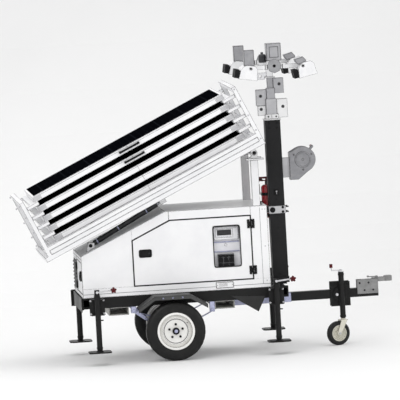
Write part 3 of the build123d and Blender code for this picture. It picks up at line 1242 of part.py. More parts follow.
# each driver's outline from the lamp's hinge: an upright box at the rear, a low wedge at the front
tall_driver = [(-50, 12), (37, 12), (37, 169), (-56, 169), (-56, 34)]
low_driver = [(-45, 14), (34, 20), (34, 50), (6, 81), (-74, 60), (-66, 36)]
lamps = {
    "right_rear": (LAMP_REAR_X, -1, 0, 9, tall_driver),
    "left_rear": (LAMP_REAR_X, 1, 0, 9, tall_driver),
    "right_front": (LAMP_FRONT_X, -1, 40, -12, low_driver),
    "left_front": (LAMP_FRONT_X, 1, 40, -12, low_driver),
}
for name, settings in lamps.items():
    save(f"{name}_floodlight", *floodlight(*settings))
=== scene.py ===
import json
import math
import bmesh
import bpy
from mathutils import Matrix, Quaternion, Vector


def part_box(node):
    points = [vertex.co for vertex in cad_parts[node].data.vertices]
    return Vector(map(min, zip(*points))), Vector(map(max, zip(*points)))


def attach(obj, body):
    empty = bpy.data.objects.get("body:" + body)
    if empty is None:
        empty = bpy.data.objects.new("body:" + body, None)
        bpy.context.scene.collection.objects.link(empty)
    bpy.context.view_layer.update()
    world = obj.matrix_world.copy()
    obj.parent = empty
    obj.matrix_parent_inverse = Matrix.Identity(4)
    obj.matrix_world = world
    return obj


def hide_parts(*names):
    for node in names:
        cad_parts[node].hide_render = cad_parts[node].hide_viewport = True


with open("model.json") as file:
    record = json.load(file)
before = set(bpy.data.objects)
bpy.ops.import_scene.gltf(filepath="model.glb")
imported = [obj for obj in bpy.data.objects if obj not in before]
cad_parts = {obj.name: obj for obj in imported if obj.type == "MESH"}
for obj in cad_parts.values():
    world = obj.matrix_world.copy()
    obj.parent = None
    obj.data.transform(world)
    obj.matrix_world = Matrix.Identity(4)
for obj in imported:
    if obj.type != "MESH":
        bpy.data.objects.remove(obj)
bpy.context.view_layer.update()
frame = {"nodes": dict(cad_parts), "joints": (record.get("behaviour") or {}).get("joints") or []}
nodes = frame["nodes"]


# ---------------------------------------------------------------- chassis
# The chassis is a ladder of welded rectangular steel tube, with the outrigger receivers and the tongue let
# into it. It is shot blasted and powder coated black, so it is satin and faintly pebbled, with faint clouds
# of a second black.

MM = 0.001


def linear(colour):
    """A hex sRGB colour as the linear red, green, blue and alpha that a shader takes."""
    parts = [int(colour[k:k + 2], 16) / 255 for k in (1, 3, 5)]
    return [c / 12.92 if c <= 0.04045 else ((c + 0.055) / 1.055) ** 2.4 for c in parts] + [1.0]


def add(tree, kind, inputs=None, **settings):
    """Adds a node, sets its properties, and fills its sockets with values or with other nodes' outputs."""
    made = tree.nodes.new(kind)
    for name, value in settings.items():
        setattr(made, name, value)
    for socket, value in (inputs or {}).items():
        if isinstance(value, bpy.types.NodeSocket):
            tree.links.new(value, made.inputs[socket])
        else:
            made.inputs[socket].default_value = value
    return made


def new_material(name):
    """An empty material, its tree, and the coordinates that stay fixed to the piece."""
    material = bpy.data.materials.new(name)
    material.use_nodes = True
    tree = material.node_tree
    tree.nodes.clear()
    return material, tree, add(tree, "ShaderNodeTexCoord").outputs["Object"]


def coat(name, colour, shade, grain=2.0, roughness=0.4, peel=0.12, metallic=0.0, edge=None, edge_mm=3.0,
         gloss=0.0, cloud_mm=220.0, shine=0.5):
    """A surface with clouds of a second shade, a pebbled bump and, where edge is given, corners and folds
    painted in that colour: painted shade where it is darker, a painted highlight where it is lighter.
    """
    material, tree, place = new_material(name)
    clouds = add(tree, "ShaderNodeTexNoise", {"Vector": place, "Scale": 1 / (cloud_mm * MM), "Detail": 6.0,
                                              "Roughness": 0.62}).outputs[0]
    spread = add(tree, "ShaderNodeMapRange", {"Value": clouds, "From Min": 0.38,
                                              "From Max": 0.68}).outputs[0]
    tone = add(tree, "ShaderNodeMix", {0: spread, 6: linear(colour), 7: linear(shade)},
               data_type="RGBA").outputs[2]
    pebbles = add(tree, "ShaderNodeTexNoise", {"Vector": place, "Scale": 1 / (grain * MM),
                                               "Detail": 3.0}).outputs[0]
    rounded = add(tree, "ShaderNodeBevel", {"Radius": edge_mm * MM}, samples=4).outputs[0]
    # Painted shade: where the bevel's rounded normal turns from the face's own, at corners and folds, the
    # colour is mixed towards edge. A lighter edge makes it a painted highlight.
    if edge:
        flat = add(tree, "ShaderNodeNewGeometry").outputs["Normal"]
        turn = add(tree, "ShaderNodeVectorMath", {0: rounded, 1: flat},
                   operation="DOT_PRODUCT").outputs["Value"]
        corner = add(tree, "ShaderNodeMapRange", {"Value": turn, "From Min": 0.998,
                                                  "From Max": 0.975}).outputs[0]
        tone = add(tree, "ShaderNodeMix", {0: corner, 6: tone, 7: linear(edge)},
                   data_type="RGBA").outputs[2]
    dull = add(tree, "ShaderNodeMapRange", {"Value": clouds, "From Min": 0.3, "From Max": 0.7,
                                            "To Min": roughness - 0.07, "To Max": roughness + 0.1}).outputs[0]
    bump = add(tree, "ShaderNodeBump", {"Height": pebbles, "Strength": peel, "Distance": grain * MM * 0.3,
                                        "Normal": rounded}).outputs[0]
    shader = add(tree, "ShaderNodeBsdfPrincipled", {"Base Color": tone, "Roughness": dull, "Normal": bump,
                                                    "Metallic": metallic, "Coat Weight": gloss,
                                                    "Specular IOR Level": shine})
    add(tree, "ShaderNodeOutputMaterial", {"Surface": shader.outputs[0]})
    return material


def dress(node, *materials):
    """Gives a CAD node its materials; all its faces take the first until they are painted."""
    mesh = nodes[node].data
    mesh.materials.clear()
    for material in materials:
        mesh.materials.append(material)
    mesh.polygons.foreach_set("material_index", [0] * len(mesh.polygons))


def paint(node, number, test):
    """Gives the faces whose centre passes the test one of the node's materials."""
    for face in nodes[node].data.polygons:
        if test(face.center):
            face.material_index = number


def solids_of(node):
    """A CAD node's separate solids: for each, its faces and its lowest and highest corner."""
    mesh = nodes[node].data
    leader = {}

    def find(key):
        while leader[key] != key:
            leader[key] = leader[leader[key]]
            key = leader[key]
        return key

    keys = [tuple(round(c / (0.01 * MM)) for c in vertex.co) for vertex in mesh.vertices]
    for key in keys:
        leader.setdefault(key, key)
    for face in mesh.polygons:
        first = find(keys[face.vertices[0]])
        for corner in face.vertices[1:]:
            leader[find(keys[corner])] = first
    groups = {}
    for face in mesh.polygons:
        groups.setdefault(find(keys[face.vertices[0]]), []).append(face)
    found = []
    for faces in groups.values():
        corners = [mesh.vertices[k].co for face in faces for k in face.vertices]
        low = Vector([min(c[axis] for c in corners) for axis in range(3)])
        high = Vector([max(c[axis] for c in corners) for axis in range(3)])
        found.append((faces, low, high))
    return found


def paint_solids(node, number, test):
    """Gives the solids whose low and high corners pass the test one of the node's materials."""
    for faces, low, high in solids_of(node):
        if test(low, high):
            for face in faces:
                face.material_index = number


# Powder coat on blasted steel: even, satin, with a fine orange peel, and a painted shade line along its
# corners.
black_powder_coat = coat("black_powder_coat", "#181818", "#1e1e1e", grain=3, roughness=0.42,
                         edge="#050505", edge_mm=5,
                         shine=0.2)
# The same coat in dark grey on the folded skirt, which sits proud of the rail and looks a shade lighter; a
# painted shade line runs along its corners.
grey_powder_coat = coat("grey_powder_coat", "#353535", "#2e2e2e", grain=3, roughness=0.5, edge="#0c0c0c",
                        edge_mm=6, shine=0.2)
# Zinc plate with a blue passivate: pale, slightly lilac and silky, with a painted shade line along its
# corners.
zinc_plate = coat("zinc_plate", "#c3c6e2", "#a9acc9", grain=2, roughness=0.34, metallic=0.35,
                  edge="#1c1c2c",
                  edge_mm=4, cloud_mm=40)

for name in ("cross_members", "tongue_beam"):
    dress(name, black_powder_coat, zinc_plate)
dress("side_rails", black_powder_coat, grey_powder_coat)
rail_half = 445 * MM
paint_solids("side_rails", 1, lambda low, high: max(abs(low.y), abs(high.y)) > rail_half + 3 * MM)
dress("frame_brackets", zinc_plate)


# ---------------------------------------------------------------- fork pockets and fenders
# The fork pockets are two open boxes of thick plate welded across under the rails and painted white. The
# fenders are folded from 4 mm plate with a deep outer lip, welded to the rails and coated dark grey.

# Brushed white enamel on rough plate: dull, a little grey, with painted shade as dark lines in the corners.
pocket_paint = coat("pocket_white_paint", "#d3d3ce", "#b9b9b4", grain=3, roughness=0.5, edge="#121212",
                    edge_mm=6, cloud_mm=90)
# Thick grey powder coat on folded plate: satin, with painted shade as dark lines along the folds.
fender_coat = coat("fender_grey_coat", "#4b4b4b", "#3f3f3f", grain=3, roughness=0.46, edge="#0e0e0e",
                   edge_mm=7, shine=0.25)
dress("fork_pockets", pocket_paint)
dress("fenders", fender_coat)


def slab(bm, low, high, turn=None):
    """A box from its low and high corners, turned by a matrix where one is given."""
    size = Vector(high) - Vector(low)
    middle = (Vector(high) + Vector(low)) / 2
    placed = Matrix.Translation(middle) @ Matrix.Diagonal((*size, 1))
    bmesh.ops.create_cube(bm, size=1, matrix=turn @ placed if turn else placed)


def lathe(bm, profile, centre, axis, steps=40, closed=False, dent=None):
    """A turned shape: profile holds pairs of distance along the axis and radius. dent may change a radius."""
    turn = Vector(axis).to_track_quat("Z", "X")
    rings = []
    for along, radius in profile:
        ring = []
        for step in range(steps):
            angle = 2 * math.pi * step / steps
            r = dent(step, along, radius) if dent else radius
            ring.append(bm.verts.new(Vector(centre) + turn @ Vector((r * math.cos(angle),
                                                                     r * math.sin(angle), along))))
        rings.append(ring)
    pairs = list(zip(rings, rings[1:]))
    if closed:
        pairs.append((rings[-1], rings[0]))
    for one, two in pairs:
        for step in range(steps):
            after = (step + 1) % steps
            bm.faces.new((one[step], one[after], two[after], two[step]))
    if not closed:
        bm.faces.new(list(reversed(rings[0])))
        bm.faces.new(rings[-1])


def piece(name, bm, body, slot, *materials, bevel=0.0):
    """Makes an object of the mesh, rounds its corners where bevel is given, and lets it ride on a body."""
    bmesh.ops.recalc_face_normals(bm, faces=bm.faces)
    mesh = bpy.data.meshes.new(name)
    bm.to_mesh(mesh)
    bm.free()
    for material in materials:
        mesh.materials.append(material)
    mesh.polygons.foreach_set("use_smooth", [True] * len(mesh.polygons))
    mesh.set_sharp_from_angle(angle=math.radians(38))
    made = bpy.data.objects.new(name, mesh)
    bpy.context.scene.collection.objects.link(made)
    if bevel:
        rounding = made.modifiers.new("rounding", "BEVEL")
        rounding.width = bevel
        rounding.segments = 2
        rounding.limit_method = "ANGLE"
    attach(made, body)
    return made


def bolt_head(bm, at, axis, across=0.013, high=0.006):
    """A hexagon head on its washer, with its face along the axis."""
    lathe(bm, [(0, across * 0.75), (0.0015, across * 0.75)], at, axis, steps=20)
    seat = Vector(at) + Vector(axis).normalized() * 0.0015
    lathe(bm, [(0, across / 2), (high * 0.8, across / 2), (high, across * 0.42)], seat, axis, steps=6)


# Three zinc plated hexagon bolts stand along the outer face of each fender's lip.
fender_low, fender_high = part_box("fenders")
bolt_inset = 0.02
for side, word in ((-1, "right"), (1, "left")):
    bm = bmesh.new()
    face_y = fender_low.y if side < 0 else fender_high.y
    for share in (0.36, 0.5, 0.64):
        x = fender_low.x + (fender_high.x - fender_low.x) * share
        bolt_head(bm, (x, face_y, fender_high.z - bolt_inset), (0, side, 0), across=0.012)
    piece(f"{word}_fender_bolts", bm, "chassis", "galvanised", zinc_plate)


# ---------------------------------------------------------------- axle and springs
# A square axle beam hangs on two stacks of leaf springs, held by U bolts and shackles. The steel is zinc
# plated where it is bolted up, and it looks pale and slightly lilac against the black frame.

dress("axle_beam", black_powder_coat)
dress("leaf_springs", zinc_plate)


# ---------------------------------------------------------------- tyres
# Trailer tyres: moulded black rubber carcasses with a rounded side wall, a ring rib above the bead and a
# four-rib tread whose shoulders are notched. They are pressed over the rims and replace the plain rings.

def rubber(name, colour, shade):
    """Moulded rubber: near black, dull, with a bloom of dust in random clouds of a faintly lighter tone."""
    material, tree, place = new_material(name)
    bloom = add(tree, "ShaderNodeTexNoise", {"Vector": place, "Scale": 14.0, "Detail": 6.0}).outputs[0]
    spread = add(tree, "ShaderNodeMapRange", {"Value": bloom, "From Min": 0.4, "From Max": 0.7}).outputs[0]
    tone = add(tree, "ShaderNodeMix", {0: spread, 6: linear(colour), 7: linear(shade)},
               data_type="RGBA").outputs[2]
    skin = add(tree, "ShaderNodeTexNoise", {"Vector": place, "Scale": 1 / (2.5 * MM),
                                            "Detail": 4.0}).outputs[0]
    bump = add(tree, "ShaderNodeBump", {"Height": skin, "Strength": 0.2, "Distance": 0.5 * MM}).outputs[0]
    shader = add(tree, "ShaderNodeBsdfPrincipled", {"Base Color": tone, "Roughness": 0.42, "Normal": bump,
                                                    "Specular IOR Level": 0.3})
    add(tree, "ShaderNodeOutputMaterial", {"Surface": shader.outputs[0]})
    return material


# Moulded rubber with carbon black: near black and dull, with a faint brown bloom.
tyre_rubber = rubber("moulded_tyre_rubber", "#0d0d0d", "#171716")
bead_r = 0.1715
seat_r = 0.1558
tread_r = 0.270
wall_half = 0.060
bead_half = 0.0497
rib_edges = (0.036, 0.0265, 0.0215, 0.0035)
groove = 0.006
side_profile = [
    (bead_half, seat_r), (bead_half, bead_r), (0.0535, 0.176), (0.0555, 0.1775), (0.0562, 0.181), (0.0555,
                                                                                                   0.1845),
    (0.0585, 0.196), (wall_half, 0.212), (0.0592, 0.226), (0.0570, 0.238), (0.0578, 0.2395), (0.0562,
                                                                                              0.2425),
    (0.0525, 0.250), (0.0485, 0.258), (0.0435, 0.2645), (0.0385, 0.2685), (rib_edges[0], tread_r),
    (rib_edges[1], tread_r), (rib_edges[1] - 0.0015, tread_r - groove), (rib_edges[2] + 0.0015,
                                                                         tread_r - groove),
    (rib_edges[2], tread_r), (rib_edges[3] + 0.0015, tread_r), (rib_edges[3], tread_r - groove),
]
tyre_profile = side_profile + [(-along, radius) for along, radius in reversed(side_profile)]
shoulder = (0.256, 0.0325)
tyre_steps = 160


def notch(step, along, radius):
    """Every fifth step of the shoulder is let in, which cuts the tread's edge into blocks."""
    cut = step % 5 == 0 and radius > shoulder[0] and abs(along) > shoulder[1]
    return radius - 0.0045 if cut else radius


for side in ("left", "right"):
    low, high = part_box(f"{side}_tyre")
    bm = bmesh.new()
    lathe(bm, tyre_profile, (low + high) / 2, (0, 1, 0), steps=tyre_steps, closed=True, dent=notch)
    tyre = piece(f"{side}_treaded_tyre", bm, f"{side}_wheel", "tyre_rubber", tyre_rubber)
    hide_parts(f"{side}_tyre")


# ---------------------------------------------------------------- rims and hubs
# Pressed steel rims in white gloss enamel, on cast hubs painted black. Five black cone nuts hold each rim,
# and a turned, zinc plated grease cap is tapped into the hub. A rubber valve stands in the barrel.

# Stoved white enamel on a pressed disc: smooth and glossy, with painted shade as fine dark lines at the
# steps.
rim_enamel = coat("white_rim_enamel", "#f0efec", "#e4e3df", grain=2, roughness=0.24, peel=0.05, gloss=0.4,
                  edge="#2a2a2a", edge_mm=3, cloud_mm=120)
# Dipped black enamel on cast iron: smooth, even and deep.
hub_black = coat("black_hub_enamel", "#0c0c0e", "#141416", grain=3, roughness=0.38, shine=0.2)
hub_width = 0.16
for side, sign in (("left", 1), ("right", -1)):
    node = f"{side}_rim"
    dress(node, rim_enamel, hub_black)
    paint_solids(node, 1, lambda low, high: high.z - low.z < hub_width)
    low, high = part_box(node)
    hub = Vector(((low.x + high.x) / 2, high.y if sign > 0 else low.y, (low.z + high.z) / 2))
    paint(node, 1, lambda at: 0.0535 < math.hypot(at.x - hub.x, at.z - hub.z) < 0.0735
          and abs(at.y) > 0.6215)
    bm = bmesh.new()
    cap_face = hub - Vector((0, sign * 0.010, 0))
    lathe(bm, [(-0.012, 0.017), (0.0, 0.017), (0.002, 0.0160), (0.008, 0.0150), (0.0105, 0.0125),
               (0.0115, 0.006)],
          cap_face, (0, sign, 0), steps=32)
    piece(f"{side}_grease_cap", bm, f"{side}_wheel", "galvanised", zinc_plate)
    bm = bmesh.new()
    valve_r = 0.128
    valve = Vector((hub.x + valve_r * math.cos(0.6), sign * 0.600, hub.z + valve_r * math.sin(0.6)))
    lathe(bm, [(0, 0.0065), (0.008, 0.006), (0.012, 0.004), (0.028, 0.0036), (0.034, 0.0045),
               (0.041, 0.0042)],
          valve, (0, sign, 0), steps=16)
    piece(f"{side}_tyre_valve", bm, f"{side}_wheel", "tyre_rubber", tyre_rubber)
    # A black ring on the step of the rim's disc is a painted shade line.
    bm = bmesh.new()
    groove_r = 0.1105
    lathe(bm, [(-0.004, groove_r - 0.0024), (0.0012, groove_r - 0.0024), (0.0012, groove_r + 0.0024),
               (-0.004, groove_r + 0.0024)],
          (hub.x, sign * 0.6197, hub.z), (0, sign, 0), steps=64, closed=True)
    piece(f"{side}_rim_line", bm, f"{side}_wheel", "tyre_rubber", hub_black)


# ---------------------------------------------------------------- outriggers, jacks and cranks
# Each outrigger is a square arm with a welded bracket that holds a side-wind screw jack. Tube, leg and foot
# are powder coated black; the crank rod is bright zinc, and its five-lobed knob is moulded in dark red.

# Bright zinc plate on drawn rod: pale grey and silky, with a painted shade line along its corners.
rod_zinc = coat("bright_crank_zinc", "#d6d6d8", "#bcbcc0", grain=2, roughness=0.3, metallic=0.3,
                edge="#55555a",
                edge_mm=1.5, cloud_mm=30)
# Injection moulded nylon: dark red, with a fine moulded grain and painted shade as darker rims.
knob_red = coat("moulded_red_knob", "#5c1218", "#42090f", grain=1.5, roughness=0.36, peel=0.2,
                edge="#140204",
                edge_mm=2.5, cloud_mm=20, shine=0.2)
knob_span = 0.1
corners = ("right_rear", "left_rear", "right_front", "left_front")
for corner in corners:
    side = -1 if corner.startswith("right") else 1
    dress(f"{corner}_outrigger", black_powder_coat)
    dress(f"{corner}_jack_leg", black_powder_coat)
    dress(f"{corner}_jack_crank", rod_zinc, knob_red)
    paint_solids(f"{corner}_jack_crank", 1, lambda low, high: (high - low).length < knob_span)
    knob = [(low + high) / 2 for faces, low, high in solids_of(f"{corner}_jack_crank")
            if (high - low).length < knob_span][0]
    leg_low, leg_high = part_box(f"{corner}_jack_leg")
    centre = (leg_low + leg_high) / 2

    # a raised ring of the knob's own dark red stands in the middle of its face
    bm = bmesh.new()
    knob_half = 0.013
    outer = knob + Vector((0, side * knob_half, 0))
    lathe(bm, [(-0.002, 0.017), (0.0012, 0.0165), (0.003, 0.013), (0.003, 0.0065), (0.0018, 0.0055)], outer,
          (0, side, 0), steps=24)
    piece(f"{corner}_knob_cap", bm, f"{corner}_crank", "crank_grip_red", knob_red)

    # a welded band at the tube's mouth, where the leg comes out, and another under the gear head
    bm = bmesh.new()
    band_r = 0.0255
    for z in (0.160, 0.628):
        lathe(bm, [(-0.011, band_r), (-0.009, band_r + 0.0028), (0.009, band_r + 0.0028), (0.011, band_r),
                   (0.011, band_r - 0.002), (-0.011, band_r - 0.002)],
              (centre.x, centre.y, z), (0, 0, 1), steps=40, closed=True)
    piece(f"{corner}_tube_bands", bm, f"{corner}_arm", "jack_black", black_powder_coat)

    # four bolt heads stand on the bracket's back plate
    bm = bmesh.new()
    plate_y = centre.y - side * 0.0335
    for x in (centre.x - 0.060, centre.x + 0.060):
        for z in (0.468, 0.590):
            bolt_head(bm, (x, plate_y, z), (0, side, 0), across=0.013)
    piece(f"{corner}_bracket_bolts", bm, f"{corner}_arm", "galvanised", rod_zinc)

    # the foot's pad is pressed: a raised rib runs round the leg on the plate
    bm = bmesh.new()
    foot_top = 0.127
    lathe(bm, [(0, 0.034), (0.006, 0.030), (0.0065, 0.0215), (0, 0.0215)], (centre.x, centre.y, foot_top),
          (0, 0, 1), steps=40, closed=True)
    piece(f"{corner}_foot_weld", bm, f"{corner}_leg", "jack_black", black_powder_coat)


# ---------------------------------------------------------------- tongue jack
# The swivel jack on the tongue is a black coated tube on a turned swivel disc. Its crank is on top: a
# bright
# zinc cap and arm with a dark red grip. Four zinc plated bolts clamp its plates to the tongue.

stud_span = 0.04
paint_solids("tongue_beam", 1, lambda low, high: high.x - low.x < stud_span and high.z - low.z < stud_span)
dress("tongue_jack_tube", black_powder_coat, rod_zinc)
paint_solids("tongue_jack_tube", 1, lambda low, high: high.z - low.z < 0.012)
dress("tongue_jack_leg", black_powder_coat)
dress("tongue_jack_crank", rod_zinc, knob_red)
paint_solids("tongue_jack_crank", 1, lambda low, high: high.z - low.z < 0.05)
tube_low, tube_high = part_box("tongue_jack_tube")
leg_low, leg_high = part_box("tongue_jack_leg")
tube_axis = (leg_low + leg_high) / 2
bm = bmesh.new()
for z in (tube_low.z + 0.012, tube_high.z - 0.030):
    lathe(bm, [(-0.010, 0.0255), (-0.008, 0.0285), (0.008, 0.0285), (0.010, 0.0255), (0.010, 0.0235),
               (-0.010, 0.0235)], (tube_axis.x, tube_axis.y, z), (0, 0, 1), steps=40, closed=True)
piece("tongue_jack_bands", bm, "tongue_jack", "jack_black", black_powder_coat)

# a pin locks the swivel: a turned head on a short sleeve, to the rear of the tube
bm = bmesh.new()
lock_at = Vector((tube_axis.x - 0.045, tube_axis.y, 0.463))
lathe(bm, [(0, 0.011), (0.018, 0.011), (0.018, 0.007), (0.026, 0.007), (0.026, 0.013), (0.038, 0.013),
           (0.040, 0.011)], lock_at + Vector((0, 0.024, 0)), (0, -1, 0), steps=28)
piece("swivel_lock_pin", bm, "tongue_jack", "galvanised", rod_zinc)


# ---------------------------------------------------------------- caster
# The caster has a solid black rubber tyre with a ribbed tread on a moulded cream wheel, in a cream painted
# fork. Each face of the wheel is dished in steps round the hub, and a bolt goes through the fork.

# Sprayed cream enamel on a pressed fork and a moulded wheel: warm white and satin, with a painted shade line
# along its corners.
cream_enamel = coat("cream_enamel", "#dcd9cc", "#c8c5b6", grain=2, roughness=0.36, edge="#2a2923",
                    edge_mm=2.5,
                    cloud_mm=40)
# Solid moulded rubber: black and dull.
caster_rubber = rubber("solid_caster_rubber", "#0b0b0b", "#131312")
dress("caster_fork", cream_enamel)
dress("caster_wheel", cream_enamel, caster_rubber)
caster_joint = [joint for joint in frame["joints"] if joint["name"] == "caster_roll"][0]
caster_hub = Vector(caster_joint["pos_m"])
caster_axis = Vector(caster_joint["axis"]).normalized()
core_r = 0.0745


def off_axle(at):
    """How far a point lies from the line of the caster's axle."""
    reach = at - caster_hub
    return (reach - caster_axis * reach.dot(caster_axis)).length


paint("caster_wheel", 1, lambda at: off_axle(at) > core_r)
dish = [(0.0065, 0.0655), (0.0195, 0.0650), (0.0200, 0.0610), (0.0140, 0.0580), (0.0135, 0.0500),
        (0.0185, 0.0470),
        (0.0190, 0.0430), (0.0120, 0.0400), (0.0115, 0.0310), (0.0175, 0.0290), (0.0180, 0.0225), (0.0065,
                                                                                                   0.0225)]
for word, sign in (("right", -1), ("left", 1)):
    bm = bmesh.new()
    lathe(bm, dish, caster_hub, caster_axis * sign, steps=48, closed=True)
    piece(f"caster_{word}_dish", bm, "caster_roller", "rim_white", cream_enamel)
bm = bmesh.new()
caster_tread = 0.109
rib_pitch = 0.0072
for k in (-2, -1, 0, 1, 2):
    at = rib_pitch * k
    lathe(bm, [(at - 0.0022, caster_tread - 0.0015), (at - 0.0012, caster_tread + 0.0012),
               (at + 0.0012, caster_tread + 0.0012), (at + 0.0022, caster_tread - 0.0015)],
          caster_hub, caster_axis, steps=64, closed=True)
piece("caster_tread_ribs", bm, "caster_roller", "tyre_rubber", caster_rubber)
bm = bmesh.new()
for sign in (-1, 1):
    bolt_head(bm, caster_hub + caster_axis * sign * 0.041, caster_axis * sign, across=0.014, high=0.007)
piece("caster_axle_nuts", bm, "caster_yoke", "galvanised", rod_zinc)


# ---------------------------------------------------------------- coupler
# The pressed ball coupler is bolted through two side plates to the tongue. It is finished in grey zinc rich
# paint; the bolts are black oxide steel, and the lever on top is the same grey as the body.

# Zinc rich paint on pressed steel: mid grey and matt, barely metallic, with a painted shade line along its
# corners.
zinc_paint = coat("zinc_rich_grey_paint", "#8b8b8b", "#7a7a7a", grain=2.5, roughness=0.48, metallic=0.15,
                  edge="#1f1f1f", edge_mm=3, cloud_mm=60)
# Blackened steel screws: dark, with a slight metal sheen.
black_oxide = coat("black_oxide_steel", "#17171a", "#222226", grain=2, roughness=0.35, metallic=0.5,
                   cloud_mm=20)
dress("coupler_body", zinc_paint)
dress("coupler_latch", zinc_paint)
coupler_low, coupler_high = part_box("coupler_body")
nose = Vector((coupler_high.x, 0, coupler_high.z))
bm = bmesh.new()
hole_places = ((-0.306, -0.056), (-0.224, -0.056), (-0.264, -0.124), (-0.183, -0.124))
for dx, dz in hole_places:
    for side, face_y in ((-1, coupler_low.y), (1, coupler_high.y)):
        bolt_head(bm, (nose.x + dx, face_y, nose.z + dz), (0, side, 0), across=0.012, high=0.006)
piece("coupler_bolts", bm, "chassis", "coupler_zinc", black_oxide)


# ---------------------------------------------------------------- cabinet
# The cabinet is folded from 3 mm sheet and powder coated white. Its folds and corners carry painted shade as
# thin dark lines; its seams hold dark sealant, and its door gaps a black gasket. Hinges, latches and louvres
# are black.

# White powder coat on folded sheet: satin, with painted shade drawn as dark lines along the folds.
cabinet_white = coat("cabinet_white_powder", "#f1f1f2", "#e9e9eb", grain=3, roughness=0.4, peel=0.1,
                     edge="#0a0a0c", edge_mm=8, cloud_mm=350, shine=0.3)
# The same coat on the doors, whose folds are tighter, so their painted shade lines are thinner.
door_white = coat("door_white_powder", "#f0f0f1", "#e8e8ea", grain=3, roughness=0.4, peel=0.1,
                  edge="#101012", edge_mm=4, cloud_mm=300, shine=0.3)
# Moulded black nylon: dull, even, with a fine grain and a painted shade line along its corners.
fitting_black = coat("fitting_black_nylon", "#0c0c0e", "#131315", grain=2, roughness=0.45, edge="#030304",
                     edge_mm=1.5, cloud_mm=40, shine=0.2)
# Extruded rubber: black, with no shine.
gasket_rubber = rubber("door_gasket_rubber", "#060606", "#101010")
# White enamel on the control tray's sheet, a shade greyer than the door, with painted shade at its folds.
panel_grey = coat("control_panel_white", "#e9e9eb", "#dedee1", grain=2, roughness=0.4, edge="#141416",
                  edge_mm=5, cloud_mm=70)
# Passivated zinc on thick plate: mid grey, barely metallic, with a painted shade line along its corners.
clevis_grey = coat("clevis_grey_zinc", "#9b9ba0", "#88888d", grain=2, roughness=0.38, metallic=0.3,
                   edge="#18181a", edge_mm=3, cloud_mm=40)
dress("cabinet_shell", cabinet_white, fitting_black, clevis_grey)
dress("right_door", door_white, fitting_black)
dress("rear_door", door_white, fitting_black)
dress("right_latch", fitting_black)
dress("control_panel", panel_grey, fitting_black)
shell_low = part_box("cabinet_shell")[0]
door_low, door_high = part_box("right_door")
rear_low, rear_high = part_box("rear_door")
small = 0.12
paint_solids("cabinet_shell", 1, lambda low, high: high.z - low.z < small and high.x - low.x < small
             and low.z < 1.24 and (high.y - low.y < 0.05 or low.x < shell_low.x + 0.03))
paint_solids("right_door", 1, lambda low, high: high.z - low.z < small and high.x - low.x < small)
paint_solids("rear_door", 1, lambda low, high: high.z - low.z < small and high.y - low.y < 0.1)


def ribbon(bm, points, across, wide, thick, closed=True):
    """A flat strip of one thickness that follows points in a plane; across is the plane's normal."""
    normal = Vector(across).normalized()
    count = len(points)
    inner, outer = [], []
    for k in range(count):
        here = Vector(points[k])
        before = (here - Vector(points[k - 1])).normalized()
        after = (Vector(points[(k + 1) % count]) - here).normalized()
        side = normal.cross(before + after).normalized()
        reach = wide / 2 / max(0.3, side.dot(normal.cross(after)))
        inner.append(here - side * reach)
        outer.append(here + side * reach)
    rings = []
    for lift in (0, thick):
        rings.append([[bm.verts.new(p + normal * lift) for p in line] for line in (inner, outer)])
    for k in range(count if closed else count - 1):
        n = (k + 1) % count
        (bi, bo), (ti, to) = rings
        bm.faces.new((ti[k], ti[n], to[n], to[k]))
        bm.faces.new((bi[n], bi[k], bo[k], bo[n]))
        bm.faces.new((to[k], to[n], bo[n], bo[k]))
        bm.faces.new((ti[n], ti[k], bi[k], bi[n]))


# The rubber gasket fills the gap round the side door and stands a little proud, so the gap reads dark.
bm = bmesh.new()
gap_out = 0.0025
knee_x = door_low.x + 0.350
hinge_edge = 0.3928
rear_top = 1.104
outline = [(door_low.x - gap_out, door_low.z - gap_out), (hinge_edge, door_low.z - gap_out),
           (hinge_edge, door_high.z + gap_out), (knee_x, door_high.z + gap_out),
           (door_low.x - gap_out, rear_top)]
ribbon(bm, [(x, -0.4480, z) for x, z in reversed(outline)], (0, -1, 0), 0.012, 0.0032)
piece("side_door_gasket", bm, "chassis", "tyre_rubber", gasket_rubber)
bm = bmesh.new()
latch_edge, rear_hinge_edge = -0.4275, 0.0675
rear_outline = [(latch_edge, rear_low.z - gap_out), (rear_hinge_edge, rear_low.z - gap_out),
                (rear_hinge_edge, rear_high.z + gap_out), (latch_edge, rear_high.z + gap_out)]
ribbon(bm, [(-1.1725, y, z) for y, z in rear_outline], (-1, 0, 0), 0.008, 0.0030)
piece("rear_door_gasket", bm, "chassis", "tyre_rubber", gasket_rubber)

# The body is made of a lower tub and a hood: their joints run along the rear, the sides' foot and the front
# post
# as thin dark seams.
# Dark grey and dull: painted-over sealant in the joints, and painted shade on the sheet behind the louvre
# blades.
seam_sealant_and_painted_shade = coat("seam_shadow_sealant", "#2a2b2f", "#202125", grain=2, roughness=0.6, cloud_mm=40)
bm = bmesh.new()
for z in (0.958, 0.636):
    slab(bm, (shell_low.x + 0.0145, -0.445, z - 0.0015), (shell_low.x + 0.0158, 0.445, z + 0.0015))
slab(bm, (shell_low.x + 0.0145, 0.088, 0.640), (shell_low.x + 0.0158, 0.091, 0.955))
for y, lift in ((-0.4508, 1), (0.4496, 1)):
    slab(bm, (-1.170, y, 0.6350), (0.545, y + 0.0012, 0.6385))
slab(bm, (0.4790, -0.4508, 0.640), (0.4815, -0.4496, 1.335))
piece("cabinet_seams", bm, "chassis", "cabinet_white", seam_sealant_and_painted_shade)

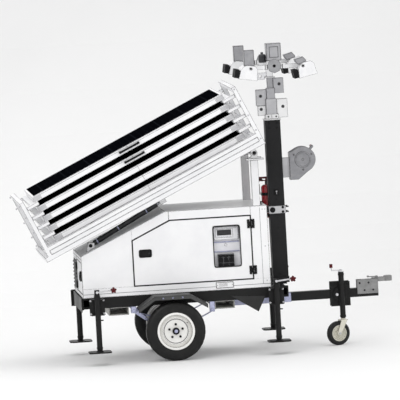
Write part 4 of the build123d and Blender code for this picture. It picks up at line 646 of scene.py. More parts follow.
# Pan head screws hold the hood: along the rear panel's edges, at the roof's front corner and down the
# corner post.
bm = bmesh.new()
for y in (-0.435, 0.435):
    for z in (0.700, 0.800, 0.900):
        lathe(bm, [(0, 0.006), (0.0018, 0.0055), (0.0026, 0.003)], (shell_low.x + 0.0158, y, z),
              (-1, 0, 0), steps=16)
for x, z in ((0.505, 1.318), (0.530, 1.318), (0.515, 0.980), (0.515, 0.665)):
    lathe(bm, [(0, 0.006), (0.0018, 0.0055), (0.0026, 0.003)], (x, -0.450, z), (0, -1, 0), steps=16)
piece("hood_screws", bm, "chassis", "galvanised", rod_zinc)

# Each black hinge is screwed on through two countersunk holes a leaf.
bm = bmesh.new()
for z in (0.752, 0.787, 1.174, 1.211):
    for x in (0.372, 0.414):
        lathe(bm, [(0, 0.0052), (0.0012, 0.0048), (0.0020, 0.0022)], (x, -0.454, z), (0, -1, 0), steps=16)
for z in (0.683, 0.717, 0.853, 0.887):
    for y in (0.049, 0.086):
        lathe(bm, [(0, 0.0048), (0.0012, 0.0044), (0.0020, 0.0020)], (-1.179, y, z), (-1, 0, 0), steps=16)
piece("hinge_screws", bm, "chassis", "latch_black", black_oxide)

# A turned key cylinder is let into the front end of the latch paddle.
latch_low, latch_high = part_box("right_latch")
bm = bmesh.new()
lathe(bm, [(0, 0.0085), (0.0016, 0.0085), (0.0022, 0.0070), (0.0012, 0.0050)],
      (latch_high.x - 0.016, latch_low.y, (latch_low.z + latch_high.z) / 2), (0, -1, 0), steps=24)
piece("latch_key_cylinder", bm, "right_latch_paddle", "latch_black", black_oxide)

# The hole that the controls stand behind has a rounded bezel, fitted round the door's cut-out from outside.
bm = bmesh.new()
hole_low, hole_high = Vector((0.0423, -0.452, 0.812)), Vector((0.2883, -0.452, 1.188))
corner_r = 0.022
rounded_outline = []
for cx, cz, start in ((hole_high.x - corner_r, hole_high.z - corner_r, 0),
                      (hole_low.x + corner_r, hole_high.z - corner_r, 90),
                      (hole_low.x + corner_r, hole_low.z + corner_r, 180), (hole_high.x - corner_r,
                                                                            hole_low.z + corner_r, 270)):
    for step in range(7):
        angle = math.radians(start + step * 15)
        rounded_outline.append((cx + corner_r * math.cos(angle), -0.4495, cz + corner_r * math.sin(angle)))
ribbon(bm, list(reversed(rounded_outline)), (0, -1, 0), 0.009, 0.0032)
piece("control_bezel", bm, "right_door_leaf", "latch_black", gasket_rubber)

# The controller stands in the upper half of the pocket: a white hood with two cheeks, a dark display and a
# row
# of keys. Below are two lilac zinc bars and the black outlet block, with round covers and pale ruled lines.
# Polished display glass: black and glossy.
screen_black = coat("display_glass", "#0d0e12", "#15171d", grain=4, roughness=0.12, peel=0.02, gloss=0.6,
                    cloud_mm=60)
# Printed membrane keys: off white and matt, with a painted shade line along their edges.
key_white = coat("membrane_keys", "#dfe0e3", "#cfd0d4", grain=1.5, roughness=0.5, edge="#303034", edge_mm=1,
                 cloud_mm=30)
paint_solids("control_panel", 1, lambda low, high: high.z < 0.93 and low.z > 0.81)
bm = bmesh.new()
slab(bm, (0.084, -0.4035, 1.098), (0.214, -0.4020, 1.148))
piece("display", bm, "right_door_leaf", "latch_black", screen_black, bevel=0.0006)
bm = bmesh.new()
key_pitch = 0.026
for k in range(5):
    slab(bm, (0.088 + key_pitch * k, -0.4045, 1.083), (0.106 + key_pitch * k, -0.4020, 1.092))
piece("display_keys", bm, "right_door_leaf", "cabinet_white", key_white, bevel=0.0006)
bm = bmesh.new()
for low, high in (((0.052, -0.4220, 1.166), (0.278, -0.3990, 1.176)),
                  ((0.052, -0.4120, 1.060), (0.060, -0.3990, 1.170)),
                  ((0.270, -0.4120, 1.060), (0.278, -0.3990, 1.170))):
    slab(bm, low, high)
piece("display_hood", bm, "right_door_leaf", "cabinet_white", panel_grey, bevel=0.0015)
bm = bmesh.new()
slab(bm, (0.046, -0.3780, 1.030), (0.284, -0.3700, 1.040))
slab(bm, (0.046, -0.3860, 0.944), (0.284, -0.3700, 0.952))
piece("cable_bar", bm, "right_door_leaf", "galvanised", zinc_plate, bevel=0.001)
bm = bmesh.new()
outlet_pitch, breaker_pitch = 0.050, 0.020
for k in range(3):
    cx = 0.104 + outlet_pitch * k
    lathe(bm, [(0, 0.0175), (0.0016, 0.0170), (0.0020, 0.0120), (0.0006, 0.0112)], (cx, -0.4150, 0.870),
          (0, -1, 0), steps=28)
    slab(bm, (cx - 0.009, -0.4172, 0.8895), (cx + 0.009, -0.4100, 0.9010))
for k in range(7):
    slab(bm, (0.087 + breaker_pitch * k, -0.4110, 0.905), (0.101 + breaker_pitch * k, -0.4090, 0.919))
piece("outlet_covers", bm, "right_door_leaf", "latch_black", fitting_black, bevel=0.0008)
bm = bmesh.new()
for k in range(4):
    slab(bm, (0.0790 + outlet_pitch * k, -0.4100, 0.8200), (0.0802 + outlet_pitch * k, -0.4088, 0.9190))
for z in (0.846, 0.894, 0.920):
    slab(bm, (0.084, -0.4100, z), (0.228, -0.4088, z + 0.0012))
piece("outlet_ruling", bm, "right_door_leaf", "cabinet_white", key_white)

# A white data plate is riveted under the door; it has a black border, three ruled lines and no writing.
bm = bmesh.new()
ribbon(bm, [(x, -0.4523, z) for x, z in ((0.049, 0.671), (0.202, 0.671), (0.202, 0.624), (0.049, 0.624))],
       (0, -1, 0), 0.003, 0.0006)
for k in range(3):
    slab(bm, (0.070, -0.4528, 0.638 + 0.010 * k), (0.150, -0.4522, 0.6405 + 0.010 * k))
for x in (0.058, 0.193):
    lathe(bm, [(0, 0.0032), (0.0010, 0.0028)], (x, -0.4523, 0.6475), (0, -1, 0), steps=14)
piece("data_plate_marks", bm, "chassis", "latch_black", fitting_black)

# The rear door's latch is an upright bar handle on a round black boss. Behind the louvre blades a dark sheet
# stands as painted shade, where the cabinet's inside would lie in shade.
bm = bmesh.new()
lathe(bm, [(0, 0.013), (0.003, 0.013), (0.004, 0.010)], (rear_low.x, -0.391, 0.805), (-1, 0, 0), steps=24)
slab(bm, (rear_low.x - 0.0075, -0.3965, 0.770), (rear_low.x - 0.003, -0.3855, 0.840))
piece("rear_latch_handle", bm, "rear_door_leaf", "latch_black", fitting_black, bevel=0.001)
# Painted shade: a dark sheet stands behind the louvre blades.
bm = bmesh.new()
slab(bm, (shell_low.x + 0.0140, 0.098, 0.648), (shell_low.x + 0.0158, 0.422, 0.918))
piece("louvre_recess", bm, "chassis", "latch_black", seam_sealant_and_painted_shade)

# The pin of the actuator's lower clevis has a washer and a stepped head outside each ear.
bm = bmesh.new()
for sign in (-1, 1):
    at = Vector((-1.0717, -0.300 + sign * 0.034, 1.074))
    lathe(bm, [(0, 0.017), (0.002, 0.017), (0.002, 0.0115), (0.008, 0.0115), (0.0095, 0.0095)], at,
          (0, sign, 0), steps=28)
piece("clevis_pin_heads", bm, "chassis", "galvanised", fitting_black)

# A small black vent with a mushroom cap stands on the roof near the front edge.
bm = bmesh.new()
lathe(bm, [(0, 0.022), (0.006, 0.022), (0.006, 0.014), (0.020, 0.014), (0.020, 0.024), (0.028, 0.022),
           (0.032, 0.012)],
      (0.500, -0.330, 1.352), (0, 0, 1), steps=32)
piece("roof_vent", bm, "chassis", "latch_black", fitting_black)


# ---------------------------------------------------------------- batteries and generator
# Six sealed batteries stand on a tray behind the rear door: moulded black cases and lids with lead
# terminals.
# The generator set ahead of them is a cast iron engine, painted, with its alternator and radiator.

# Moulded polypropylene: charcoal, with a dull sheen and a painted shade line along its corners.
battery_case = coat("moulded_battery_case", "#1d1f24", "#17181c", grain=3, roughness=0.5, edge="#0a0a0c",
                    edge_mm=3)
# Sprayed blue grey engine enamel on rough castings, with a painted shade line along its corners.
engine_paint = coat("engine_enamel", "#4a5560", "#3d464f", grain=4, roughness=0.45, edge="#1b1f23",
                    edge_mm=4)
# Thin matt black paint on pressed fins.
radiator_black = coat("radiator_black", "#141414", "#1d1d1d", grain=2, roughness=0.6)
# Cast lead: mid grey and soft looking.
terminal_lead = coat("terminal_lead", "#8e9094", "#7b7d81", grain=1.5, roughness=0.4, metallic=0.6,
                     cloud_mm=20)
dress("battery_bank", battery_case, zinc_plate)
paint_solids("battery_bank", 1, lambda low, high: high.z - low.z < 0.02)
dress("generator", engine_paint, radiator_black, black_powder_coat)
paint_solids("generator", 1, lambda low, high: high.x - low.x < 0.05)
paint_solids("generator", 2, lambda low, high: high.z - low.z < 0.05)
bm = bmesh.new()
lids = bmesh.new()
for faces, low, high in solids_of("battery_bank"):
    if high.z - low.z < 0.1:
        continue
    slab(lids, (low.x + 0.006, low.y + 0.006, high.z), (high.x - 0.006, high.y - 0.006, high.z + 0.004))
    for y in (low.y + 0.045, high.y - 0.045):
        lathe(bm, [(0, 0.011), (0.004, 0.011), (0.004, 0.008), (0.016, 0.0075)],
              ((low.x + high.x) / 2, y, high.z + 0.004), (0, 0, 1), steps=20)
piece("battery_terminals", bm, "chassis", "galvanised", terminal_lead)
piece("battery_lids", lids, "chassis", "engine_iron", battery_case, bevel=0.002)
bm = bmesh.new()
for k in range(9):
    z = 0.690 + 0.030 * k
    lathe(bm, [(-0.0015, 0.149), (0.0015, 0.149), (0.0015, 0.140), (-0.0015, 0.140)], (-0.155, 0.050, z),
          (0, 0, 1), steps=4, closed=True)
fin_pitch = 0.034
for k in range(14):
    slab(bm, (0.296, -0.180 + fin_pitch * k, 0.670), (0.3005, -0.176 + fin_pitch * k, 1.090))
piece("generator_fins", bm, "chassis", "engine_iron", radiator_black)


# ---------------------------------------------------------------- solar array
# Five framed solar panels lie in a welded cradle of square aluminium tube; four of them slide out. The
# frames are
# powder coated white with dark joints, the glass is black with a grid of cells, and the hand grips are
# black.

# White powder coat on welded tube: satin, with painted shade as wide dark lines at the corners.
array_white = coat("array_frame_white", "#eeeeef", "#e4e4e6", grain=3, roughness=0.45, edge="#101012",
                   edge_mm=8,
                   cloud_mm=300, shine=0.3)
# White coated extrusion: smoother than the cradle, with painted shade as dark lines at its corners.
panel_white = coat("panel_frame_white", "#f2f2f3", "#eaeaec", grain=2, roughness=0.4, edge="#131315",
                   edge_mm=6,
                   cloud_mm=250, shine=0.3)
# White powder coat on the posts' thick tube: a shade greyer than the cradle, with a painted shade line along
# its corners.
post_white = coat("array_post_white", "#ebebec", "#dfdfe1", grain=3, roughness=0.42, edge="#0f0f11",
                  edge_mm=7)
# Grey coated strip: plain and satin, with a painted shade line along its edges.
strip_grey = coat("end_strip_grey", "#c6c6c8", "#b6b6b9", grain=2, roughness=0.4, edge="#303033", edge_mm=2)
# Black painted pressed steel: dull.
rack_dark = coat("rack_strip_black", "#101012", "#19191b", grain=2, roughness=0.5, cloud_mm=30, shine=0.2)


def cell_glass(lean):
    """Black cell glass: 156 mm cells set out square to the panel, with fine silver lines between them."""
    material, tree, place = new_material("solar_cell_glass")
    flat = add(tree, "ShaderNodeMapping", {"Vector": place, "Rotation": (0, lean, 0)},
               vector_type="TEXTURE").outputs[0]
    apart = add(tree, "ShaderNodeSeparateXYZ", {"Vector": flat})
    shade = None
    for axis, pitch, line in (("X", 0.156, 0.004), ("Y", 0.156, 0.004), ("X", 0.039, 0.0008)):
        share = add(tree, "ShaderNodeMath", {0: apart.outputs[axis], 1: pitch},
                    operation="DIVIDE").outputs[0]
        part = add(tree, "ShaderNodeMath", {0: share}, operation="FRACT").outputs[0]
        near = add(tree, "ShaderNodeMath", {0: part, 1: line / pitch}, operation="LESS_THAN").outputs[0]
        shade = near if shade is None else add(tree, "ShaderNodeMath", {0: shade, 1: near},
                                               operation="MAXIMUM").outputs[0]
    mottle = add(tree, "ShaderNodeTexNoise", {"Vector": place, "Scale": 9.0, "Detail": 5.0}).outputs[0]
    base = add(tree, "ShaderNodeMix", {0: mottle, 6: linear("#040406"), 7: linear("#08090d")},
               data_type="RGBA").outputs[2]
    tone = add(tree, "ShaderNodeMix", {0: shade, 6: base, 7: linear("#1b1d22")},
               data_type="RGBA").outputs[2]
    shader = add(tree, "ShaderNodeBsdfPrincipled", {"Base Color": tone, "Roughness": 0.5,
                                                    "Specular IOR Level": 0.0})
    add(tree, "ShaderNodeOutputMaterial", {"Surface": shader.outputs[0]})
    return material


tilt = math.radians([joint for joint in frame["joints"]
                     if joint["name"] == "array_tilt"][0]["range_deg"][1])
glass = cell_glass(tilt)
frame_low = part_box("tilt_frame")[0]
post_u, post_w = 0.030, 0.590
foot = Vector((frame_low.x - (post_u * math.cos(tilt) - post_w * math.sin(tilt)), 0, frame_low.z))
array_matrix = Matrix.Translation(foot) @ Matrix.Rotation(-tilt, 4, "Y")
to_array = array_matrix.inverted()

dress("array_posts", post_white)
dress("tilt_frame", array_white, fitting_black)
paint_solids("tilt_frame", 1, lambda low, high: high.y - low.y > 0.8 and high.x - low.x < 0.035)
panel_half = 0.495
panel_bodies = {1: "panel_1", 2: "panel_2", 3: "panel_3", 4: "panel_4", 5: "array"}
grip_y = 0.4955
for number, body in panel_bodies.items():
    node = f"solar_panel_{number}"
    dress(node, panel_white, glass, fitting_black)
    for faces, low, high in solids_of(node):
        if high.y - low.y < 0.1:
            for face in faces:
                face.material_index = 2
        elif low.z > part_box(node)[0].z + 0.04:
            for face in faces:
                face.material_index = 1
    paint(node, 2, lambda at: at.y < -grip_y)

    # a grey strip is fixed near both ends of each frame's side faces, and the frame's joints show as dark
    # lines
    points = [to_array @ vertex.co for vertex in nodes[node].data.vertices if vertex.co.y > -grip_y]
    u0, u1 = min(p.x for p in points), max(p.x for p in points)
    w0, w1 = min(p.z for p in points), max(p.z for p in points)
    bm = bmesh.new()
    for y, out in ((-panel_half, -1), (panel_half, 1)):
        face_y = y + out * 0.0008
        for a, b in ((u0 + 0.004, u0 + 0.072), (u1 - 0.072, u1 - 0.004)):
            ys = sorted((y, face_y))
            slab(bm, (a, ys[0], w0 + 0.008), (b, ys[1], w1 - 0.008), turn=array_matrix)
    piece(f"panel_{number}_end_strips", bm, body, "solar_panel", strip_grey)
    bm = bmesh.new()
    for y, out in ((-panel_half, -1), (panel_half, 1)):
        ys = sorted((y, y + out * 0.0007))
        for u in (u0 + 0.076, u1 - 0.078, (u0 + u1) / 2 - 0.004):
            slab(bm, (u, ys[0], w0 + 0.002), (u + 0.0022, ys[1], w1 - 0.002), turn=array_matrix)
        slab(bm, (u0 + 0.08, ys[0], w1 - 0.0135), (u1 - 0.08, ys[1], w1 - 0.0115), turn=array_matrix)
    piece(f"panel_{number}_joint_lines", bm, body, "latch_black", rack_dark)

    # a plain junction box is glued under the glass
    bm = bmesh.new()
    mid_u = (u0 + u1) / 2
    slab(bm, (mid_u - 0.055, -0.060, w0 + 0.008), (mid_u + 0.055, 0.060, w0 + 0.030), turn=array_matrix)
    piece(f"panel_{number}_junction_box", bm, body, "latch_black", fitting_black, bevel=0.003)

# Toothed rack strips lie along the near and far lower rails in three lengths: pressed steel, painted black.
bm = bmesh.new()
rack_w = (0.083, 0.098)
for side in (-1, 1):
    ys = sorted((side * 0.5942, side * 0.5975))
    for a, b in ((0.18, 0.34), (0.46, 0.62), (1.55, 2.05)):
        slab(bm, (a, ys[0], rack_w[0]), (b, ys[1], rack_w[0] + 0.006), turn=array_matrix)
        teeth = int((b - a) / 0.016)
        for k in range(teeth):
            u = a + (b - a) * (k + 0.25) / teeth
            slab(bm, (u, ys[0], rack_w[0] + 0.006), (u + 0.008, ys[1], rack_w[1]), turn=array_matrix)
piece("rack_strips", bm, "array", "latch_black", rack_dark)

# The cradle's rails are held together by button head bolts through the corner posts.
bm = bmesh.new()
frame_len = max((to_array @ vertex.co).x for vertex in nodes["tilt_frame"].data.vertices)
for side in (-1, 1):
    for u in (0.020, frame_len - 0.020):
        for w in (0.060, 0.150, 0.300, 0.450, 0.570):
            at = array_matrix @ Vector((u, side * 0.600, w))
            lathe(bm, [(0, 0.0085), (0.002, 0.008), (0.0038, 0.0045), (0.0028, 0.0035)], at, (0, side, 0),
                  steps=18)
piece("cradle_bolts", bm, "array", "galvanised", rod_zinc)

# The cradle's posts are pinned to the pivot shaft with set collars.
bm = bmesh.new()
pivot_x, pivot_z = 0.4603, 1.836
for y in (-0.449, 0.4455):
    for sign in (-1, 1):
        lathe(bm, [(0, 0.023), (0.0035, 0.023), (0.0035, 0.0162), (0, 0.0162)], (pivot_x, y, pivot_z),
              (0, sign, 0), steps=32, closed=True)
piece("pivot_collars", bm, "array", "galvanised", zinc_plate)


# ---------------------------------------------------------------- actuator
# An electric linear actuator lifts the cradle. Its tube and motor are black anodised and painted; the rod
# is
# bright steel with a light film of grease.

# Black paint over a turned tube: satin, with a painted shade line along its corners.
actuator_black = coat("actuator_black_paint", "#17181a", "#202124", grain=2.5, roughness=0.35,
                      edge="#050505", edge_mm=2,
                      cloud_mm=50)
# Ground rod: bright, nearly smooth, with a clear metal sheen.
bright_steel = coat("ground_bright_steel", "#b9bcc2", "#a5a8ae", grain=1, roughness=0.18, metallic=0.85,
                    peel=0.04,
                    cloud_mm=60)
dress("actuator_body", actuator_black)
dress("actuator_rod", bright_steel)
act_dir = Vector((0.881321, 0, 0.472518))
act_base = Vector((-1.0717, -0.300, 1.074))
bm = bmesh.new()
for share in (0.075, 0.30, 0.60):
    lathe(bm, [(-0.006, 0.0250), (-0.004, 0.0272), (0.004, 0.0272), (0.006, 0.0250), (0.006, 0.0236),
               (-0.006, 0.0236)],
          act_base + act_dir * share, act_dir, steps=40, closed=True)
piece("actuator_bands", bm, "actuator", "latch_black", zinc_plate)


# ---------------------------------------------------------------- mast
# Five square steel tubes telescope in one another. The outer one is powder coated charcoal and the next one
# white; the inner ones are galvanised in paler greys. Each carries pulley heads with sheaves for the rope.

# Charcoal powder coat on the mast's outer tube: dull, with fine pebbling and a painted shade line along its
# corners.
mast_charcoal = coat("mast_charcoal_powder", "#252526", "#1f1f20", grain=3, roughness=0.45, edge="#070708",
                     edge_mm=6, cloud_mm=260, shine=0.15)
# White powder coat on the second tube: satin, with painted shade along its corners.
stage_white = coat("stage_white_powder", "#ececec", "#e0e0e1", grain=3, roughness=0.4, edge="#0f0f10",
                   edge_mm=7)
# Galvanised tube in three greys, each inner stage a little darker, with painted shade along their corners.
stage_greys = {3: ("#c2c2c4", "#b2b2b5"), 4: ("#b4b4b7", "#a3a3a7"), 5: ("#acacaf", "#9b9b9f")}
# Cast iron sheaves in black paint: dull, slightly uneven.
sheave_dark = coat("cast_sheave_black", "#1a1a1c", "#232326", grain=2, roughness=0.45, cloud_mm=25)
# Light grey paint on the mast's collar: satin, with painted shade at its corners.
collar_grey = coat("collar_light_grey", "#c8c8ca", "#b4b4b7", grain=2, roughness=0.4, edge="#0e0e10",
                   edge_mm=6)
# Grey zinc on pressed cheeks: mid grey, slightly metallic, with a painted shade line along their corners.
winch_grey = coat("winch_grey_zinc", "#939396", "#828286", grain=2, roughness=0.38, metallic=0.2,
                  edge="#0f0f11",
                  edge_mm=5, cloud_mm=60)
dress("mast_tube", mast_charcoal, fitting_black)
paint_solids("mast_tube", 1, lambda low, high: high.z - low.z < 0.06 and high.z > 1.0)
sheave_half = 0.031
dress("mast_stage_2", stage_white, sheave_dark)
paint_solids("mast_stage_2", 1, lambda low, high: high.y - low.y > 2 * sheave_half and high.z - low.z < 0.09
             and high.x - low.x < 0.09)
for number in (3, 4, 5):
    pale, dim = stage_greys[number]
    steel = coat(f"stage_{number}_galvanised_grey", pale, dim, grain=3, roughness=0.4, metallic=0.15,
                 edge="#0f0f11", edge_mm=7, cloud_mm=160)
    dress(f"mast_stage_{number}", steel, sheave_dark)
    if number < 5:
        paint_solids(f"mast_stage_{number}", 1, lambda low, high: high.y - low.y > 2 * sheave_half
                     and high.z - low.z < 0.09 and high.x - low.x < 0.09)
dress("mast_fittings", collar_grey, winch_grey, fitting_black)
paint_solids("mast_fittings", 1, lambda low, high: low.x > 0.80)
paint_solids("mast_fittings", 2, lambda low, high: high.z - low.z < 0.02 or high.x < 0.61)

# The outer tube's wear pads are held by flush screws in pairs, and a grey pointer marks the lock on its
# near face.
mast_half = 0.0762
bm = bmesh.new()
for z in (2.030, 2.075):
    for x in (0.650, 0.720):
        for side in (-1, 1):
            bolt_head(bm, (x, side * mast_half, z), (0, side, 0), across=0.011, high=0.005)
for z in (0.690, 1.100, 1.200, 1.370):
    for side in (-1, 1):
        lathe(bm, [(0, 0.0055), (0.0016, 0.0050), (0.0024, 0.0026)], (0.685, side * mast_half, z),
              (0, side, 0), steps=14)
piece("mast_tube_screws", bm, "chassis", "galvanised", fitting_black)
bm = bmesh.new()
slab(bm, (0.676, -0.0826, 1.440), (0.694, -0.0800, 1.452))
slab(bm, (0.681, -0.0835, 1.418), (0.689, -0.0800, 1.440))
piece("mast_lock_pointer", bm, "chassis", "galvanised", collar_grey, bevel=0.0008)

# Stage two's near face shows a dark joint with a bolt head on each side of it.
bm = bmesh.new()
slab(bm, (0.680, -0.0657, 2.114), (0.6825, -0.0649, 2.152))
for x in (0.650, 0.722):
    bolt_head(bm, (x, -0.0650, 2.133), (0, -1, 0), across=0.010, high=0.004)
piece("stage_two_bolts", bm, "mast_2", "galvanised", fitting_black)

# A large black hexagon clamp stands on the collar's near face, with two smaller bolts ahead of it.
bm = bmesh.new()
bolt_head(bm, (0.640, -0.0780, 1.276), (0, -1, 0), across=0.034, high=0.008)
for z in (1.256, 1.296):
    bolt_head(bm, (0.735, -0.0780, z), (0, -1, 0), across=0.016, high=0.007)
piece("collar_clamps", bm, "chassis", "latch_black", fitting_black)

# The hand winch has pressed cheeks with a raised ring, and an open drum between them. The steel rope wound
# on
# the drum is drawn as eleven closed turns side by side.
# Twisted steel wire: grey and metallic, with a coarse bump that stands for the strands.
rope_steel = coat("winch_rope_steel", "#8d8f93", "#6f7175", grain=1.2, roughness=0.35, metallic=0.7,
                  peel=0.5, cloud_mm=12)
dress("winch_drum", winch_grey, rod_zinc, knob_red)
paint_solids("winch_drum", 2, lambda low, high: high.x - low.x < 0.05)
winch_at = Vector((0.9453, 0, 1.722))
cheek_face = 0.062
bm = bmesh.new()
for side in (-1, 1):
    lathe(bm, [(0, 0.076), (0.0032, 0.073), (0.0040, 0.068), (0.0032, 0.063), (0, 0.060)],
          winch_at + Vector((0, side * cheek_face, 0)), (0, side, 0), steps=56, closed=True)
    for angle in (0.5, 2.6, 4.7):
        spot = winch_at + Vector((0.094 * math.cos(angle), side * cheek_face, 0.094 * math.sin(angle)))
        bolt_head(bm, spot, (0, side, 0), across=0.011, high=0.005)
piece("winch_cheek_rings", bm, "chassis", "galvanised", winch_grey)
bm = bmesh.new()
rope_pitch = 0.008
for k in range(11):
    y = -0.040 + rope_pitch * k
    lathe(bm, [(-0.0038, 0.051), (-0.002, 0.0548), (0.002, 0.0548), (0.0038, 0.051)],
          winch_at + Vector((0, y, 0)), (0, 1, 0), steps=44, closed=True)
piece("winch_rope_coils", bm, "winch", "galvanised", rope_steel)


# ---------------------------------------------------------------- extinguisher
# A stored pressure extinguisher hangs on the mast in two black straps: a red enamelled bottle with a red
# lever
# valve, a black gauge, and a short moulded hose bent back down beside the bottle. Its label film is blank.

# Glossy red enamel on a spun bottle.
enamel_red = coat("extinguisher_red_enamel", "#b3202a", "#98161f", grain=2, roughness=0.22, peel=0.04,
                  gloss=0.5,
                  cloud_mm=80)
# Dark red painted lever: satin, with painted shade at its edges.
lever_red = coat("lever_dark_red", "#6d141b", "#54090f", grain=2, roughness=0.4, edge="#230306",
                 edge_mm=1.5, cloud_mm=20)
# Plain pale plastic film: matt, without any print.
label_pale = coat("blank_label_film", "#d9d6cf", "#cbc8c0", grain=2, roughness=0.45, cloud_mm=60)
dress("extinguisher", enamel_red, fitting_black, lever_red)
paint_solids("extinguisher", 1, lambda low, high: high.z - low.z < 0.04)
paint_solids("extinguisher", 2, lambda low, high: low.z > 1.49)
bottle_axis = Vector((0.6203, 0.140, 0))
label_r = 0.0546
bm = bmesh.new()
steps = 22
rows = []
for z in (1.262, 1.370):
    rows.append([bm.verts.new((bottle_axis.x + label_r * math.cos(a),
                               bottle_axis.y + label_r * math.sin(a), z))
                 for a in [math.radians(20 + 140 * k / steps) for k in range(steps + 1)]])
for k in range(steps):
    bm.faces.new((rows[0][k], rows[0][k + 1], rows[1][k + 1], rows[1][k]))
piece("extinguisher_label", bm, "chassis", "cabinet_white", label_pale)
bm = bmesh.new()
lathe(bm, [(0, 0.013), (0.010, 0.013), (0.0115, 0.011)], (0.6203, 0.124, 1.520), (0, -1, 0), steps=24)
piece("extinguisher_gauge", bm, "chassis", "latch_black", fitting_black)


def tube_along(bm, points, radius, steps=14):
    """A round tube of one radius that follows a line of points."""
    spots = [Vector(p) for p in points]
    rings = []
    for k, spot in enumerate(spots):
        ahead = (spots[min(k + 1, len(spots) - 1)] - spots[max(k - 1, 0)]).normalized()
        turn = ahead.to_track_quat("Z", "Y")
        rings.append([bm.verts.new(spot + turn @ Vector((radius * math.cos(2 * math.pi * s / steps),
                                                         radius * math.sin(2 * math.pi * s / steps), 0)))
                      for s in range(steps)])
    for one, two in zip(rings, rings[1:]):
        for s in range(steps):
            bm.faces.new((one[s], one[(s + 1) % steps], two[(s + 1) % steps], two[s]))
    bm.faces.new(list(reversed(rings[0])))
    bm.faces.new(rings[-1])


bm = bmesh.new()
valve_x, hose_y = 0.583, 0.150
bend_wide, bend_high = 0.017, 0.020
hose = []
for k in range(13):
    a = math.pi * k / 12
    hose.append((valve_x - bend_wide + bend_wide * math.cos(a), hose_y, 1.530 + bend_high * math.sin(a)))
hose += [(0.5495, hose_y, 1.500), (0.5500, hose_y, 1.440)]
tube_along(bm, hose, 0.0075)
lathe(bm, [(0, 0.009), (0.030, 0.0115), (0.034, 0.0115), (0.034, 0.007)], (0.5500, hose_y, 1.442),
      (0, 0, -1), steps=18)
piece("extinguisher_hose", bm, "chassis", "latch_black", gasket_rubber)


# ---------------------------------------------------------------- light head and floodlights
# A square beam on the mast carries two arms a side, and each arm's end holds a cast LED floodlight on a
# pin.
# Beam ends are closed by grey octagon plates. Housings and arms are powder coated white, their fins black.

# White powder coat on the beam and arms: satin, with painted shade at the corners.
head_white = coat("light_head_white", "#ededee", "#e1e1e3", grain=2, roughness=0.4, edge="#0d0d0f",
                  edge_mm=6,
                  cloud_mm=120)
# Grey paint on cut plate: mid grey and even, with a painted shade line along its edges.
octagon_grey = coat("octagon_plate_grey", "#999a9c", "#8a8a8d", grain=2, roughness=0.42, edge="#0d0d0f",
                    edge_mm=6,
                    cloud_mm=60)
# Grey paint on a folded box, with painted shade as a wide dark margin at its corners.
box_grey = coat("power_box_grey", "#acacaf", "#9f9fa2", grain=2, roughness=0.42, edge="#0b0b0d",
                edge_mm=14, cloud_mm=90)
# Tinted polycarbonate: dark and glossy.
sensor_dark = coat("sensor_dome_dark", "#1e1f22", "#27282c", grain=3, roughness=0.3, peel=0.05, gloss=0.3,
                   cloud_mm=40)
# White powder coat on a cast housing: fine grained, with painted shade at its corners.
lamp_white = coat("lamp_housing_white", "#eeeeef", "#e4e4e6", grain=1.5, roughness=0.38, edge="#0c0c0e",
                  edge_mm=6,
                  cloud_mm=90)
# Grey paint on the driver boxes, with painted shade as a wide dark margin at their corners.
driver_grey = coat("driver_box_grey", "#9a9a9d", "#8b8b8e", grain=2, roughness=0.42, edge="#0c0c0e",
                   edge_mm=12, cloud_mm=60)
# Clear toughened glass over the lamp: pale, very smooth and glossy.
lens_glass = coat("lamp_lens_glass", "#b9bec6", "#a7adb6", grain=6, roughness=0.08, peel=0.02, gloss=0.8,
                  cloud_mm=60)
# Black anodised fins, with a painted highlight as a lighter line along their edges.
fin_black = coat("lamp_fin_black", "#0d0d0f", "#161618", grain=1.5, roughness=0.5, edge="#4f5054",
                 edge_mm=1, cloud_mm=30,
                 shine=0.2)
dress("light_bar", head_white, octagon_grey, box_grey, sensor_dark, panel_grey)
paint_solids("light_bar", 1, lambda low, high: high.y - low.y < 0.008)
paint_solids("light_bar", 2, lambda low, high: low.x > 0.65 and high.z > 2.75)
paint_solids("light_bar", 3, lambda low, high: high.z > 2.70 and high.x < 0.67)
paint_solids("light_bar", 4, lambda low, high: high.x < 0.66 and low.z < 2.5)
for corner in corners:
    node = f"{corner}_floodlight"
    dress(node, lamp_white, fin_black, lens_glass, driver_grey)
    low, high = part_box(node)
    side = -1 if corner.startswith("right") else 1
    for faces, one, two in solids_of(node):
        number = 0
        if one.y > low.y + 0.002 and two.y < high.y - 0.002:
            number = 1 if two.y - one.y > 0.2 else 3
        if one.z < low.z + 0.012 and two.z - one.z < 0.06 and two.y - one.y > 0.22 and one.y > low.y + 0.001:
            number = 2
        for face in faces:
            face.material_index = number

    # a turned boss with a bolt head stands over the aiming pin on the lamp's outer cheek
    hinge = [joint for joint in frame["joints"] if joint["name"] == f"{corner}_lamp_aim"][0]
    at = Vector(hinge["pos_m"])
    body = f"{corner}_lamp"
    bm = bmesh.new()
    face_y = low.y if side < 0 else high.y
    boss = Vector((at.x, face_y, at.z))
    lathe(bm, [(0, 0.017), (0.0035, 0.017), (0.0050, 0.0150), (0.0050, 0.011)], boss, (0, side, 0),
          steps=32)
    piece(f"{corner}_pivot_boss", bm, body, "lamp_white", lamp_white)
    bm = bmesh.new()
    bolt_head(bm, boss + Vector((0, side * 0.0045, 0)), (0, side, 0), across=0.015, high=0.005)
    piece(f"{corner}_pivot_bolt", bm, body, "galvanised", fitting_black)

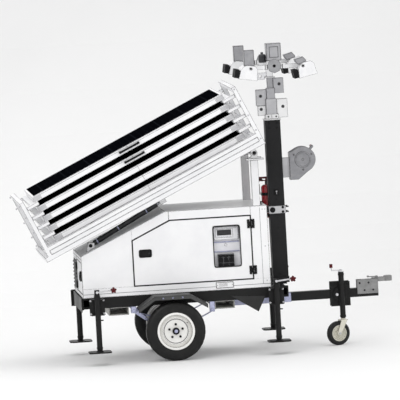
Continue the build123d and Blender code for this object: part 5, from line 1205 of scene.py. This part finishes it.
# Black collars are clamped round the arms in pairs near the beam, and a thin dark frame is laid on both
# faces
# of the tall grey box.
bm = bmesh.new()
for side in (-1, 1):
    y = side * 0.449
    for x in (0.600, 0.618, 0.740, 0.758):
        slab(bm, (x, y - 0.0202, 2.5888), (x + 0.006, y + 0.0202, 2.6312))
piece("arm_collars", bm, "mast_5", "lamp_white", fitting_black, bevel=0.001)
bm = bmesh.new()
for side in (-1, 1):
    ribbon(bm, [(0.730 + 0.056 * math.cos(a), (-0.0703 if side < 0 else 0.0603),
                 2.724 + 0.068 * math.sin(a))
                for a in [math.radians(45 + 90 * k) for k in range(4)]], (0, side, 0), 0.004, 0.0012)
piece("power_box_frame", bm, "mast_5", "latch_black", fitting_black)


# ---------------------------------------------------------------- floor, light and camera
# The trailer stands on a plain pale floor that curves up into a backdrop, in even, soft studio light. The
# camera looks along the floor from the side through a long lens, a little above the horizon.

# Matt white studio paper: even, with no grain that shows.
studio_white = coat("studio_white_floor", "#f4f4f4", "#f2f2f2", grain=20, roughness=0.9, peel=0.0,
                    cloud_mm=3000)
floor_low, floor_half, floor_front, wall_back, wall_high, bend = -0.001, 30.0, -70.0, 9.0, 16.0, 4.0
bm = bmesh.new()
section = [(floor_front, floor_low), (wall_back - bend, floor_low)]
for k in range(1, 13):
    a = math.radians(90 * k / 12)
    section.append((wall_back - bend + bend * math.sin(a), floor_low + bend * (1 - math.cos(a))))
section.append((wall_back, wall_high))
rows = [[bm.verts.new((x, y, z)) for x in (-floor_half, floor_half)] for y, z in section]
for one, two in zip(rows, rows[1:]):
    bm.faces.new((one[0], one[1], two[1], two[0]))
floor_mesh = bpy.data.meshes.new("studio_floor")
bm.to_mesh(floor_mesh)
bm.free()
floor_mesh.materials.append(studio_white)
floor = bpy.data.objects.new("studio_floor", floor_mesh)
bpy.context.scene.collection.objects.link(floor)

world = bpy.data.worlds.new("studio_world")
bpy.context.scene.world = world
world.use_nodes = True
world.node_tree.nodes["Background"].inputs["Color"].default_value = linear("#ffffff")
world.node_tree.nodes["Background"].inputs["Strength"].default_value = 0.80
lamps = (
    ("key_softbox", (-4.0, -7.0, 6.0), 5.0, 170.0),
    ("fill_softbox", (6.0, -6.0, 3.5), 5.0, 110.0),
    ("top_softbox", (0.0, 0.5, 8.0), 6.0, 120.0),
    ("rim_softbox", (-3.0, 6.0, 5.0), 4.0, 60.0),
)
aim_at = Vector((0, 0, 1.2))
for name, place, size, power in lamps:
    data = bpy.data.lights.new(name, "AREA")
    data.size = size
    data.energy = power
    light = bpy.data.objects.new(name, data)
    light.location = place
    light.rotation_euler = (aim_at - Vector(place)).to_track_quat("-Z", "Y").to_euler()
    bpy.context.scene.collection.objects.link(light)

azimuth, elevation, roll = math.radians(-5.4), math.radians(4.2), math.radians(-3.2)
distance, view_width = 60.0, 3.636
back = Vector((math.sin(azimuth) * math.cos(elevation), -math.cos(azimuth) * math.cos(elevation),
               math.sin(elevation)))
wheel_low, wheel_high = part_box("right_tyre")
wheel_face = Vector(((wheel_low.x + wheel_high.x) / 2, wheel_low.y, (wheel_low.z + wheel_high.z) / 2))
right_way = Vector((0.99364, -0.09800, -0.05564))
up_way = Vector((0.06245, 0.06755, 0.99573))
aim = wheel_face + right_way * 0.21455 + up_way * 1.19455
camera_data = bpy.data.cameras.new("studio_camera")
camera = bpy.data.objects.new("studio_camera", camera_data)
camera_data.sensor_width = 36.0
camera_data.lens = 36.0 * distance / view_width
camera_data.clip_end = 500.0
camera.location = aim + back * distance
turned = back.to_track_quat("Z", "Y")
camera.rotation_mode = "QUATERNION"
camera.rotation_quaternion = turned @ Quaternion((0, 0, 1), roll)
bpy.context.scene.collection.objects.link(camera)
bpy.context.scene.camera = camera
bpy.context.scene.view_settings.view_transform = "Standard"

bpy.context.view_layer.update()
